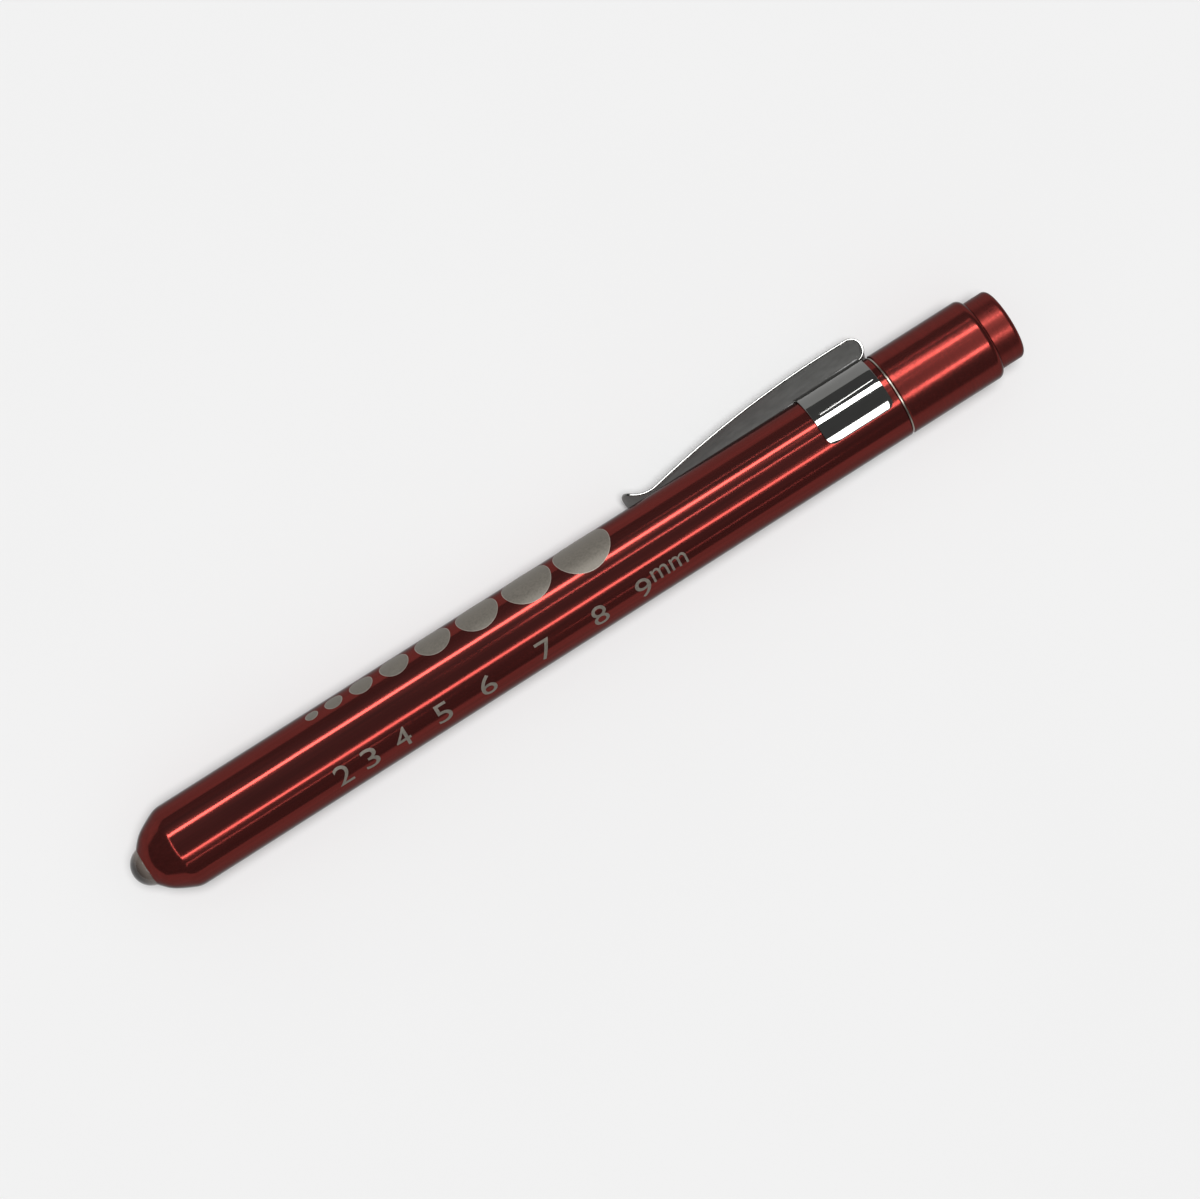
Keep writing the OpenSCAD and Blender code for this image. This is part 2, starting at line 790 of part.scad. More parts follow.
// Cap with a socket in front, a web that guides the plunger and a well for the button
module tail_cap() {
    rear_edge = [barrel_r, cap_length];
    color(RED)
        turned(concat(
            [
                [socket_d / 2, 0],
                [barrel_r - joint_bevel, 0],
                [barrel_r, joint_bevel]
            ],
            rounding([barrel_r, 0], rear_edge, [0, cap_length], cap_round),
            [
                [well_d / 2, cap_length],
                [well_d / 2, web_back],
                [plunger_d / 2 + run_clear, web_back],
                [plunger_d / 2 + run_clear, web_front],
                [socket_d / 2, web_front]
            ]
        ));
}

// Cup-shaped button with a boss for the plunger
module push_button() {
    outer_r = button_d / 2;
    edge = [outer_r, button_face];
    color(RED)
        turned(concat(
            [[outer_r - button_wall, button_rim], [outer_r, button_rim]],
            rounding([outer_r, button_rim], edge, [0, button_face], button_edge_r),
            [
                [0, button_face],
                [0, button_inside],
                [plunger_d / 2 + skin_gap, button_inside],
                [plunger_d / 2 + skin_gap, boss_rim],
                [boss_d / 2, boss_rim],
                [boss_d / 2, button_inside],
                [outer_r - button_wall, button_inside]
            ]
        ));
}

// Pin from the button through the web, with a groove for its ring and a nose for the plate
module plunger() {
    neck_r = plunger_d / 2 - retaining_groove;
    color(BRASS)
        turned([
            [0, plunger_tip],
            [plunger_nose_d / 2, plunger_tip],
            [plunger_nose_d / 2, plunger_tip + plunger_nose_h],
            [plunger_d / 2, plunger_tip + plunger_nose_h],
            [plunger_d / 2, retaining_front - retaining_play],
            [neck_r, retaining_front - retaining_play],
            [neck_r, retaining_back + retaining_play],
            [plunger_d / 2, retaining_back + retaining_play],
            [plunger_d / 2, plunger_back],
            [0, plunger_back]
        ]);
}

// Open ring that snaps into the plunger's groove
module retaining_ring() {
    inner_d = plunger_d - 2 * retaining_groove + 2 * skin_gap;
    mouth_w = inner_d * retaining_mouth_share;
    color(STEEL)
        difference() {
            tube(retaining_d, inner_d, retaining_front, retaining_back);
            strip(
                retaining_front - cut_over, retaining_back + cut_over,
                mouth_w, 0, retaining_d
            );
        }
}

// Coil between the web and the button's end
module return_spring() {
    color(STEEL)
        coil(return_line, return_wire_d);
}

barrel();
lens();
led_body();
led_leads();
led_holder();
front_contact();
ground_strip();
front_cell_can();
front_cell_sleeve();
front_cell_seal();
front_cell_base();
rear_cell_can();
rear_cell_sleeve();
rear_cell_seal();
rear_cell_base();
pocket_clip();
o_ring();
thread_coupling();
battery_spring();
contact_plate();
insulator_bush();
tail_cap();
push_button();
plunger();
retaining_ring();
return_spring();
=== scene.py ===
"""Dresses the penlight: turned skins, sprung clip, pupil gauge, lens, thread, coils and a studio."""

import math

import bmesh
import bpy
from bpy.props import FloatProperty, FloatVectorProperty, IntProperty, PointerProperty
from mathutils import Matrix, Vector


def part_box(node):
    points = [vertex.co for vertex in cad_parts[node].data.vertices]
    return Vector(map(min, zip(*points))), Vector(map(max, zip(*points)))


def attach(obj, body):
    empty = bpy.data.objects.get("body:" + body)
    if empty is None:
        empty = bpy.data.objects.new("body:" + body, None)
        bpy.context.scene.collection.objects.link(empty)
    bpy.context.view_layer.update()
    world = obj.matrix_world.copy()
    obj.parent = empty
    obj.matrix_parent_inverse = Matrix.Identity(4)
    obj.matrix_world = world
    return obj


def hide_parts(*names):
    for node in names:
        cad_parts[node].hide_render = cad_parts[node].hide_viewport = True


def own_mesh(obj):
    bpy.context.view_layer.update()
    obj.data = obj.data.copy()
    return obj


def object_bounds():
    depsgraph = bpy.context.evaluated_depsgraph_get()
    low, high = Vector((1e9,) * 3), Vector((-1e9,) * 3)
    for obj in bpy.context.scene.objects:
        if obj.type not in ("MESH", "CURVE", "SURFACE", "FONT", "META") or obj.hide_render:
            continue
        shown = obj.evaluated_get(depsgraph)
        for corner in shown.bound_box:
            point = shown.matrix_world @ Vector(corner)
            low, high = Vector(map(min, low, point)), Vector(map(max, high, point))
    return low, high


bl_info = {
    "name": "Penlight",
    "version": (1, 0, 0),
    "blender": (4, 5, 0),
    "location": "3D View > Sidebar > Penlight",
    "description": "Builds the looks of a pocket penlight around its packed frame",
    "category": "Object",
}

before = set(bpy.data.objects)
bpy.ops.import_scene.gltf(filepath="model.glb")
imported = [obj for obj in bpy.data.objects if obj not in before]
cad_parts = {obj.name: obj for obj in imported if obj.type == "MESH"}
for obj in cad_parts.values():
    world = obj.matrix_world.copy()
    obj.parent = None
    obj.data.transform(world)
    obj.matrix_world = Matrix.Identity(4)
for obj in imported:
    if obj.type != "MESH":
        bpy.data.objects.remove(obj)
CAD_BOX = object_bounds()
MM = 0.001
SHARP = math.radians(30)
# A radius under the first is on the axis, and points or radii nearer than the second are one.
ON_AXIS, CLOSE = 1e-9, 1e-5
# A noise lies mostly between these values.
NOISE_LOW, NOISE_HIGH = 0.3, 0.7
# The gauge's slants are given for this length of the barrel.
SLANT_LENGTH = 0.1

BARREL_LOW, BARREL_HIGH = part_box("barrel")
LENS_LOW, LENS_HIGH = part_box("lens")
CAP_LOW, CAP_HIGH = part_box("tail_cap")
BUTTON_LOW, BUTTON_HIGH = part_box("push_button")
COUPLING_LOW, COUPLING_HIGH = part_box("thread_coupling")
SEAL_LOW, SEAL_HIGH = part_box("o_ring")
FEED_LOW, FEED_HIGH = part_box("battery_spring")
RETURN_LOW, RETURN_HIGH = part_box("return_spring")


def linear(hex_colour):
    """Linear RGBA of an sRGB hex colour."""
    shares = [int(hex_colour[i:i + 2], 16) / 255 for i in (1, 3, 5)]
    return (*[p / 12.92 if p <= 0.04045 else ((p + 0.055) / 1.055) ** 2.4 for p in shares], 1.0)


def dimmed(tone, share):
    """A colour with its red, green and blue at a share of what they are."""
    return [share * part for part in tone[:3]] + [1.0]


def parts(steps, first=0):
    """Even parts of one, from the first step's to the last's."""
    return [k / steps for k in range(first, steps + 1)]


def spokes(sides):
    """Cosines and sines of so many even steps round a circle."""
    turns = [2 * math.pi * k / sides for k in range(sides)]
    return [(math.cos(turn), math.sin(turn)) for turn in turns]


def placed(name, data):
    """A new object in the scene."""
    item = bpy.data.objects.new(name, data)
    bpy.context.scene.collection.objects.link(item)
    return item


def made_mesh(item):
    """The mesh that an object's modifiers or its letters make."""
    graph = bpy.context.evaluated_depsgraph_get()
    return bpy.data.meshes.new_from_object(item.evaluated_get(graph), depsgraph=graph)


def smoothed(mesh):
    """Smooths a mesh's faces, but for its sharp corners."""
    mesh.shade_smooth()
    mesh.set_sharp_from_angle(angle=SHARP)


def length(name, description, millimetres):
    """A length setting, given in millimetres."""
    return FloatProperty(
        name=name, description=description, default=millimetres * MM, unit="LENGTH", precision=5
    )


def angle(name, description, degrees):
    """An angle setting, given in degrees."""
    return FloatProperty(
        name=name, description=description, default=math.radians(degrees), subtype="ANGLE"
    )


def count(name, description, number):
    """A whole-number setting."""
    return IntProperty(name=name, description=description, default=number, min=1)


def colour(name, description, hex_colour):
    """A colour setting, given as an sRGB hex value."""
    return FloatVectorProperty(
        name=name, description=description, default=linear(hex_colour), size=4, subtype="COLOR",
        min=0.0, max=1.0,
    )


class BodySettings(bpy.types.PropertyGroup):
    """Sizes of the barrel, lens, cap and button."""

    segments: count("Segments", "Sides of a turned skin", 256)
    dome_rings: count("Dome rings", "Rings of faces in the lens's dome", 32)
    support: length("Support", "Distance of a support loop from an edge", 0.1)
    brow_depth: length("Brow depth", "Distance of the steep brow's end from the nose", 1.21)
    brow_radius: length("Brow radius", "Radius at the brow's end", 4.45)
    brow: length("Brow", "Rounding at the brow's end", 6.0)
    cheek_depth: length("Cheek depth", "Distance of the cheek from the nose", 2.94)
    cheek_radius: length("Cheek radius", "Radius at the cheek", 5.5)
    cheek: length("Cheek", "Rounding at the cheek", 23.0)
    cone_length: length("Cone length", "Length of the nose cone", 5.1)
    shoulder: length("Shoulder", "Rounding between cone and barrel", 3.8)
    hole_radius: length("Lens hole", "Radius of the hole in the nose", 3.02)
    hole_bevel: length("Hole bevel", "Bevel on the hole's edge", 0.05)
    lip: length("Lip", "Thickness of the lip that holds the lens", 1.6)
    seat_radius: length("Seat radius", "Radius of the lens flange's seat", 3.8)
    seat_depth: length("Seat depth", "Depth of the seat behind the lip", 2.4)
    bore: length("Bore", "Radius of the barrel's bore", 5.6)
    joint_bevel: length("Joint bevel", "Bevel on the edges at the joint", 0.18)
    lens_radius: length("Lens radius", "Radius of the lens in the nose hole", 2.97)
    flange: length("Flange", "Thickness of the lens flange", 1.0)
    cap_edge: length("Cap edge", "Rounding of the cap's rear edge", 1.05)
    socket_radius: length("Socket radius", "Radius of the cap's front socket", 5.25)
    socket_depth: length("Socket depth", "Depth of the cap's front socket", 5.3)
    web: length("Web", "Wall between the socket and the button's well", 1.5)
    web_hole: length("Web hole", "Radius of the plunger's hole", 1.57)
    well_radius: length("Well radius", "Radius of the button's well", 5.62)
    button_edge: length("Button edge", "Rounding of the button's edge", 0.75)
    button_wall: length("Button wall", "Wall of the button's skirt", 0.95)
    button_end: length("Button end", "Thickness of the button's end", 1.3)
    boss_radius: length("Boss radius", "Radius of the plunger's boss", 2.4)
    boss_bore: length("Boss bore", "Radius of the boss's bore", 1.52)
    boss_length: length("Boss length", "Length of the plunger's boss", 3.0)


class ThreadSettings(bpy.types.PropertyGroup):
    """Sizes of the coupling between barrel and cap."""

    pitch: length("Pitch", "Travel of the cap in one turn", 1.0)
    depth: length("Depth", "Depth of the thread", 0.32)
    rows: count("Rows", "Rows of points in one pitch", 10)
    seal_sides: count("Seal sides", "Sides of the seal's round section", 32)
    radius: length("Radius", "Radius over the thread", 5.53)
    bore: length("Bore", "Radius of the coupling's bore", 4.2)
    bevel: length("Bevel", "Bevel on the leading edge", 0.4)
    groove_radius: length("Groove radius", "Radius of the seal's groove", 4.88)
    groove_clear: length("Groove clearance", "Play of the seal along its groove", 0.05)
    ring_width: length("Ring width", "Width of the bare ring at the joint", 0.2)
    spigot: length("Spigot", "Radius of the spigot in the cap", 5.2)


class ClipSettings(bpy.types.PropertyGroup):
    """Sizes of the pocket clip."""

    sheet: length("Sheet", "Thickness of the sheet", 0.35)
    edge: length("Edge", "Rounding of the sheet's edges", 0.12)
    clear: length("Clearance", "Gap between collar and barrel", 0.05)
    setback: length("Setback", "Distance of the collar from the barrel's tail", 1.2)
    collar_length: length("Collar length", "Length of the collar", 10.9)
    collar_reach: angle("Collar reach", "Angle from the clip's middle to the collar's end", 129.5)
    corner: length("Corner", "Rounding of the collar's corners", 1.1)
    curl: length("Curl", "How far the collar's ends are curled in", 0.03)
    curl_reach: angle("Curl reach", "Angle over which the collar's ends are curled in", 14)
    neck: length("Neck", "Half width of the neck", 2.0)
    neck_root: length("Neck root", "Length of the neck before its loop", 1.45)
    relief: length("Relief", "Width of the cuts beside the neck", 0.4)
    loop_reach: length("Loop reach", "Reach of the loop beyond the collar", 2.25)
    crest: length("Crest", "Height of the arm over the barrel", 3.9)
    flat: length("Flat", "Length of the arm before its bow", 1.0)
    bow: length("Bow", "Length of the bow down to the barrel", 34.6)
    arm: length("Arm", "Half width of the arm at its crest", 2.8)
    belly: length("Belly", "Half width that the arm's middle bulges towards", 3.5)
    tip: length("Tip", "Half width of the arm at its tip", 2.3)
    trough: angle("Trough", "Slope of the sheet at the arm's edges", 12.5)
    twist: angle("Twist", "Twist of the arm, its lower edge towards the barrel", 5)
    toe_gap: length("Toe gap", "Gap between the toe and the barrel", 0.2)
    toe_radius: length("Toe radius", "Radius of the bend at the toe", 4.0)
    flare: angle("Flare", "Angle of the flared tip", 42)
    flare_length: length("Flare length", "Length of the flared tip", 1.6)
    tip_end: angle("Tip end", "Angle at which the rounded tip ends", 84)


class CoilSettings(bpy.types.PropertyGroup):
    """Sizes of the two springs."""

    rings: count("Rings", "Rings in one curl", 40)
    sides: count("Sides", "Sides of the wire", 14)
    feed_wire: length("Feed wire", "Diameter of the battery spring's wire", 0.6)
    feed_curls: count("Feed curls", "Curls of the battery spring", 5)
    feed_root: length("Feed root", "Radius of the battery spring at its plate", 3.2)
    feed_tip: length("Feed tip", "Radius of the battery spring at the cell", 2.5)
    return_wire: length("Return wire", "Diameter of the return spring's wire", 0.5)
    return_curls: count("Return curls", "Curls of the return spring", 7)
    return_radius: length("Return radius", "Radius of the return spring", 3.4)
    travel: length("Travel", "Travel of the button", 2.0)


class GaugeSettings(bpy.types.PropertyGroup):
    """Sizes and places of the pupil gauge."""

    dots: count("Dots", "Number of dots", 8)
    smallest: length("Smallest", "Diameter of the smallest dot", 2.05)
    step: length("Step", "Growth from the first dot to the second, without the swell", 0.77)
    swell: length("Swell", "Half of the rise of the growth from dot to dot", 0.03)
    dot_sides: count("Dot sides", "Sides of a dot", 96)
    dot_rings: count("Dot rings", "Rings of faces in a dot", 12)
    first: length("First", "Distance of the first dot from the nose", 31.16)
    pitch: length("Pitch", "Distance of the second dot from the first, without the stretch", 3.16)
    stretch: length("Stretch", "Half of the rise of the distance from dot to dot", 0.468)
    dot_row: angle("Dot row", "Angle of the first dot from the top, towards the clip", 60.0)
    number_row: angle("Number row", "Angle of the first number from the top, away from the clip", 37.7)
    dot_slant: angle("Dot slant", "How far the dots wander round in a tenth of a metre", 15.1)
    number_slant: angle("Number slant", "How far the numbers wander round in a tenth of a metre", 12)
    number_height: length("Number height", "Height of a number", 3.5)
    number_width: length("Number width", "Width of a number", 2.4)
    unit_height: length("Unit height", "Height of the unit beside the last number", 2.12)
    unit_width: length("Unit width", "Width of the unit beside the last number", 5.8)
    unit_place: length("Unit place", "Distance of the unit's middle from the nose", 85.42)
    unit_rise: length("Unit rise", "Height of the unit's top over the number's top", 0.25)
    rim: length("Rim", "Width of the brighter outline round a dot", 0.1)
    depth: length("Depth", "Thickness of a mark", 0.06)
    proud: length("Proud", "Height of a mark over the barrel", 0.012)
    cut: length("Cut", "Spacing of the cuts that let a number bend", 0.2)


class FinishSettings(bpy.types.PropertyGroup):
    """Colours of the finishes that show."""

    red: colour("Red", "Dyed oxide of the barrel, cap and button", "#652420")
    red_deep: colour("Deep red", "Darker streaks in the dye", "#5a201c")
    chrome: colour("Chrome", "Bright plate of the clip", "#757573")
    etched: colour("Etched", "Bare metal of the dots", "#6b665e")
    lettered: colour("Lettered", "Bare metal of the numbers", "#79736a")
    outlined: colour("Outlined", "Brighter outline of the dots", "#857f77")
    paper: colour("Paper", "Paper that the penlight lies on", "#f1f1f1")


class StageSettings(bpy.types.PropertyGroup):
    """Camera, lamps and paper."""

    paper_flat: length("Paper flat", "Radius of the flat part of the paper", 1500)
    paper_rim: length("Paper rim", "Radius of the paper's rim", 6000)
    paper_rise: length("Paper rise", "Height of the rim over the flat part", 320)
    paper_rings: count("Paper rings", "Rings of faces in the rising part", 24)
    paper_sides: count("Paper sides", "Sides of the paper's rim", 96)
    lens: FloatProperty(name="Lens", description="Focal length in millimetres", default=108.83)
    distance: length("Distance", "Distance of the camera from the point that it looks at", 521.5)
    aim: length("Aim", "Distance of that point from the joint, towards the nose", 51.28)
    aside: length("Aside", "Offset of that point away from the clip", 2.44)
    lean: angle("Lean", "Lean of the camera from the nose towards the tail", 4.29)
    roll: angle("Roll", "Turn of the penlight in the picture", 32.44)
    lamp_distance: length("Lamp distance", "Distance of the lamps from the barrel's axis", 480)
    lamp_glow: FloatProperty(
        name="Lamp glow", description="Strength of a full lamp for its area", default=16.0
    )
    sky: FloatProperty(name="Sky", description="Strength of the soft light on the paper", default=2.55)
    sky_spread: angle("Sky spread", "Angle over which the soft light is spread", 25)
    room: FloatProperty(name="Room", description="Brightness of the dim room", default=0.2)


class PenlightSettings(bpy.types.PropertyGroup):
    """All settings of the penlight."""

    body: PointerProperty(type=BodySettings, name="Body", description="Turned pieces")
    thread: PointerProperty(type=ThreadSettings, name="Thread", description="Coupling")
    clip: PointerProperty(type=ClipSettings, name="Clip", description="Pocket clip")
    coils: PointerProperty(type=CoilSettings, name="Coils", description="Springs")
    gauge: PointerProperty(type=GaugeSettings, name="Gauge", description="Pupil gauge")
    finish: PointerProperty(type=FinishSettings, name="Finish", description="Colours")
    stage: PointerProperty(type=StageSettings, name="Stage", description="Camera and light")


def add(tree, kind, sockets=None, **options):
    """Adds a node, sets its options, and sets or links its inputs."""
    node = tree.nodes.new(kind)
    for name, value in options.items():
        setattr(node, name, value)
    for key, value in (sockets or {}).items():
        if isinstance(value, bpy.types.NodeSocket):
            tree.links.new(value, node.inputs[key])
        else:
            node.inputs[key].default_value = value
    return node


def finished(name, gloss=None, tones=None, relief=None, **constants):
    """A material on object coordinates, whose gloss, colour and relief follow noises of real sizes.

    Each of the three starts with its grain: millimetres along X, Y and Z, and the noise's detail.
    After that come two values of roughness, two colours, or a depth in millimetres.
    """
    material = bpy.data.materials.new(name)
    material.use_nodes = True
    tree = material.node_tree
    inputs = tree.nodes["Principled BSDF"].inputs
    for key, value in constants.items():
        inputs[key.replace("_", " ")].default_value = value
    place = add(tree, "ShaderNodeTexCoord").outputs["Object"]
    noises = {}
    for size, detail in dict.fromkeys(row[0] for row in (gloss, tones, relief) if row):
        scale = [1 / (side * MM) for side in size]
        spread = add(tree, "ShaderNodeMapping", {"Vector": place, "Scale": scale}).outputs["Vector"]
        texture = add(tree, "ShaderNodeTexNoise", {"Vector": spread, "Scale": 1.0, "Detail": detail})
        noises[size, detail] = texture.outputs["Fac"]
    if gloss:
        grain, smooth, rough = gloss
        polish = add(tree, "ShaderNodeMapRange", {
            "Value": noises[grain], "From Min": NOISE_LOW, "From Max": NOISE_HIGH,
            "To Min": smooth, "To Max": rough,
        })
        tree.links.new(polish.outputs["Result"], inputs["Roughness"])
    if tones:
        grain, *ends = tones
        ramp = add(tree, "ShaderNodeValToRGB", {"Fac": noises[grain]})
        for stop, value, tone in zip(ramp.color_ramp.elements, (NOISE_LOW, NOISE_HIGH), ends):
            stop.position = value
            stop.color = tone
        tree.links.new(ramp.outputs["Color"], inputs["Base Color"])
    if relief:
        grain, depth = relief
        bump = add(tree, "ShaderNodeBump", {"Height": noises[grain], "Distance": depth * MM})
        tree.links.new(bump.outputs["Normal"], inputs["Normal"])
    return material


# What the drawn and the turned red pieces share: the oxide scatters a little of the light, and
# its own surface adds a thin grey haze.
DYED_OXIDE = {
    # Its Specular_Tint is painted shade: it darkens the reflection near the rims, in place of the shaded
    # paper beside the barrel that they mirror.
    "Metallic": 0.92, "Specular_IOR_Level": 0.0, "Specular_Tint": (0.5, 0.58, 0.58, 1.0),
    "Coat_Weight": 0.1, "Coat_Roughness": 0.6,
}


def drawn_anodised_aluminium(colours):
    """Polished tube with dyed oxide."""
    # Drawn, polished, dyed and sealed: a clear mirror in deep red, with faint lengthwise lines
    # that let the edges of a reflection waver a little.
    lines, waves = ((16, 0.5, 0.5), 3.0), ((9, 1.6, 1.6), 2.0)
    return finished(
        "anodised_aluminium_drawn", (lines, 0.11, 0.16), (lines, colours.red_deep, colours.red),
        (waves, 0.002), **DYED_OXIDE,
    )


def turned_anodised_aluminium(name, colours, smooth, rough):
    """Turned cap or button with dyed oxide."""
    # Turned and tumbled before the dye: the mirror is softer and grainy, with fine tool rings.
    # The rings are drawn three times as coarse as real ones, to show.
    rings, specks, waves = ((0.15, 6, 6), 3.0), ((0.5, 0.3, 0.3), 4.0), ((1.1, 0.8, 0.8), 2.0)
    return finished(
        name, (specks, smooth, rough), (rings, colours.red_deep, colours.red), (waves, 0.006),
        **DYED_OXIDE,
    )


def bright_plate(colours):
    """Nickel and chrome over spring steel."""
    # Rolled, bent and bright plated: a nearly clear mirror with handling smears.
    smears, waves = ((2.5, 1.2, 1.2), 4.0), ((3.0, 1.5, 1.5), 2.0)
    return finished(
        "chrome_plated_spring_steel", (smears, 0.03, 0.07),
        (smears, dimmed(colours.chrome, 0.92), colours.chrome), (waves, 0.004), Metallic=1.0,
    )


def dull_plate(colours):
    """The same plate on the side of the clip's arm that faces the barrel."""
    # Thin plate on an unpolished side: grey and cloudy, with hardly a reflection.
    clouds = ((2.0, 0.8, 0.8), 4.0)
    tones = (clouds, dimmed(colours.chrome, 0.8), colours.chrome)
    return finished("nickel_plated_spring_steel", (clouds, 0.4, 0.55), tones, Metallic=0.35)


def etched_aluminium(name, tone, dark):
    """Bare metal where a laser took the dye away."""
    # Burnt off by a laser: matt grey metal with a fine sparkle.
    # The grain is drawn twice as coarse as a real one, to show.
    grain = ((0.3, 0.3, 0.3), 4.0)
    tones = (grain, dimmed(tone, dark), tone)
    return finished(name, (grain, 0.4, 0.6), tones, (grain, 0.008), Metallic=0.55)


def clear_acrylic(tip, hole):
    """Moulded lens."""
    # Injection moulded acrylic: glossy, with fine scratches from use. Its base colour is painted light:
    # painted shade at the dome's clear tip, and a painted glow of the holder behind, paler towards the
    # hole.
    scratches = ((0.5, 0.5, 0.5), 4.0)
    material = finished(
        "acrylic_moulded", (scratches, 0.03, 0.09), Transmission_Weight=0.35, IOR=1.49
    )
    tree = material.node_tree
    place = add(tree, "ShaderNodeTexCoord").outputs["Object"]
    along = add(tree, "ShaderNodeSeparateXYZ", {"Vector": place}).outputs["X"]
    # Values under 0 are all dark and values over 1 all pale.
    depth = add(tree, "ShaderNodeMapRange", {
        "Value": along, "From Min": tip, "From Max": hole, "To Min": -0.5, "To Max": 1.25,
    })
    # Inputs 6 and 7 and output 2 of this node are its colours.
    # Painted light: a dark tip fading to a pale glow at the hole, in place of what the lens would show
    # through it.
    shade = add(
        tree, "ShaderNodeMix",
        {0: depth.outputs["Result"], 6: linear("#1a110e"), 7: linear("#6c625b")}, data_type="RGBA",
    )
    tree.links.new(shade.outputs[2], tree.nodes["Principled BSDF"].inputs["Base Color"])
    return material


def clear_epoxy():
    """Cast body of the LED."""
    # Cast in a cup mould: clear resin with a faint warm haze from the die's phosphor.
    haze = ((1.2, 1.2, 1.2), 2.0)
    tones = (haze, linear("#e4e0c8"), linear("#f1efe0"))
    return finished("epoxy_cast", (haze, 0.05, 0.14), tones, Transmission_Weight=0.85, IOR=1.54)


def plated_metal(name, dark, light, size, smooth, rough):
    """A bright metal whose grain shows in its gloss."""
    lines = (size, 3.0)
    tones = (lines, linear(dark), linear(light))
    return finished(name, (lines, smooth, rough), tones, (lines, 0.002), Metallic=1.0)


def moulded_plastic(name, dark, light, smooth, rough):
    """A moulded plastic with a fine spark-eroded texture."""
    grain, clouds = ((0.25, 0.25, 0.25), 3.0), ((2.5, 2.5, 2.5), 2.0)
    tones = (clouds, linear(dark), linear(light))
    return finished(name, (grain, smooth, rough), tones, (grain, 0.006), IOR=1.5)


def shrunk_film():
    """Sleeve of a cell."""
    # Shrunk film: dark green, glossy, with slight ripples from the shrinking.
    ripple = ((6, 1.5, 1.5), 2.0)
    tones = (ripple, linear("#33514a"), linear("#416459"))
    return finished("pvc_film_shrunk", (ripple, 0.18, 0.3), tones, (ripple, 0.02), IOR=1.53)


def nitrile_rubber():
    """Moulded seal."""
    # Compression moulded: black with a greasy, uneven sheen.
    film = ((0.4, 0.4, 0.4), 3.0)
    tones = (film, linear("#141415"), linear("#232324"))
    return finished("nitrile_rubber_moulded", (film, 0.35, 0.6), tones, (film, 0.004), IOR=1.52)


def studio_paper(colours):
    """Seamless background paper."""
    # Uncoated paper: quite matt, its fibres far too fine to show, so only a faint mottle.
    mottle = ((60, 60, 60), 2.0)
    tones = (mottle, dimmed(colours.paper, 0.99), colours.paper)
    return finished("background_paper", tones=tones, Roughness=1.0, Specular_IOR_Level=0.0)


def rounding(before, corner, after, radius, steps=14):
    """Points of the arc that rounds a corner between two straight stretches."""
    to_before = (before - corner).normalized()
    to_after = (after - corner).normalized()
    half = to_before.angle(to_after) / 2
    centre = corner + (to_before + to_after).normalized() * radius / math.sin(half)
    start = corner + to_before * radius / math.tan(half) - centre
    end = corner + to_after * radius / math.tan(half) - centre
    sweep = math.pi - 2 * half
    if start.x * end.y - start.y * end.x < 0:
        sweep = -sweep
    return [centre + Matrix.Rotation(sweep * part, 2) @ start for part in parts(steps)]


def outline(corners):
    """Closed outline through corners given as x, radius and, where it is rounded, a rounding."""
    support = bpy.context.scene.penlight.body.support
    points = []
    for i, corner in enumerate(corners):
        here = Vector(corner[:2])
        if len(corner) == 2:
            points.append(here)
            continue
        before = Vector(corners[i - 1][:2])
        after = Vector(corners[(i + 1) % len(corners)][:2])
        points += rounding(before, here, after, corner[2])
    supported = []
    for point, following in zip(points, points[1:] + points[:1]):
        supported.append(point)
        step = following - point
        # A stretch with room for them gets a support loop by each end.
        if step.length > 3 * support:
            supported.append(point + step.normalized() * support)
            supported.append(following - step.normalized() * support)
    return supported


def as_piece(name, shape):
    """Turns a bmesh into an object with smooth faces and sharp corners."""
    mesh = bpy.data.meshes.new(name)
    bmesh.ops.recalc_face_normals(shape, faces=shape.faces)
    shape.to_mesh(mesh)
    shape.free()
    smoothed(mesh)
    return placed(name, mesh)


def turned_shape(points, segments):
    """Closed skin turned about X from an outline of x and radius."""
    shape = bmesh.new()
    around = spokes(segments)
    rings = []
    for x, radius in points:
        if radius < ON_AXIS:
            rings.append([shape.verts.new((x, 0, 0))])
        else:
            rings.append([shape.verts.new((x, radius * c, radius * s)) for c, s in around])
    for ring, following in zip(rings, rings[1:] + rings[:1]):
        if len(ring) == len(following) == 1:
            continue
        for k in range(segments):
            after = (k + 1) % segments
            corners = [
                ring[k % len(ring)], ring[after % len(ring)],
                following[after % len(following)], following[k % len(following)],
            ]
            shape.faces.new(dict.fromkeys(corners))
    return shape


def turned(name, points):
    """A piece turned about X from an outline of x and radius."""
    return as_piece(name, turned_shape(points, bpy.context.scene.penlight.body.segments))


def plain_mesh(piece):
    """Replaces a piece's modifiers by the mesh that they make."""
    mesh = made_mesh(piece)
    piece.modifiers.clear()
    unused = piece.data
    piece.data = mesh
    bpy.data.meshes.remove(unused)
    mesh.name = piece.name


def grown(name, tree, values, base=None):
    """A piece that a geometry node tree makes, as a plain mesh."""
    mesh = bpy.data.meshes.new(name)
    if base is not None:
        base.to_mesh(mesh)
        base.free()
    piece = placed(name, mesh)
    modifier = piece.modifiers.new("grow", "NODES")
    modifier.node_group = tree
    for item in tree.interface.items_tree:
        if item.in_out == "INPUT" and item.name in values:
            modifier[item.identifier] = values[item.name]
    plain_mesh(piece)
    smoothed(piece.data)
    return piece


def node_tree(name, lengths, numbers=()):
    """A geometry node tree with named inputs, and what its group input gives."""
    tree = bpy.data.node_groups.new(name, "GeometryNodeTree")
    tree.interface.new_socket("Geometry", in_out="INPUT", socket_type="NodeSocketGeometry")
    for label in lengths:
        tree.interface.new_socket(label, in_out="INPUT", socket_type="NodeSocketFloat")
    for label in numbers:
        tree.interface.new_socket(label, in_out="INPUT", socket_type="NodeSocketInt")
    tree.interface.new_socket("Material", in_out="INPUT", socket_type="NodeSocketMaterial")
    tree.interface.new_socket("Geometry", in_out="OUTPUT", socket_type="NodeSocketGeometry")
    return tree, add(tree, "NodeGroupInput").outputs


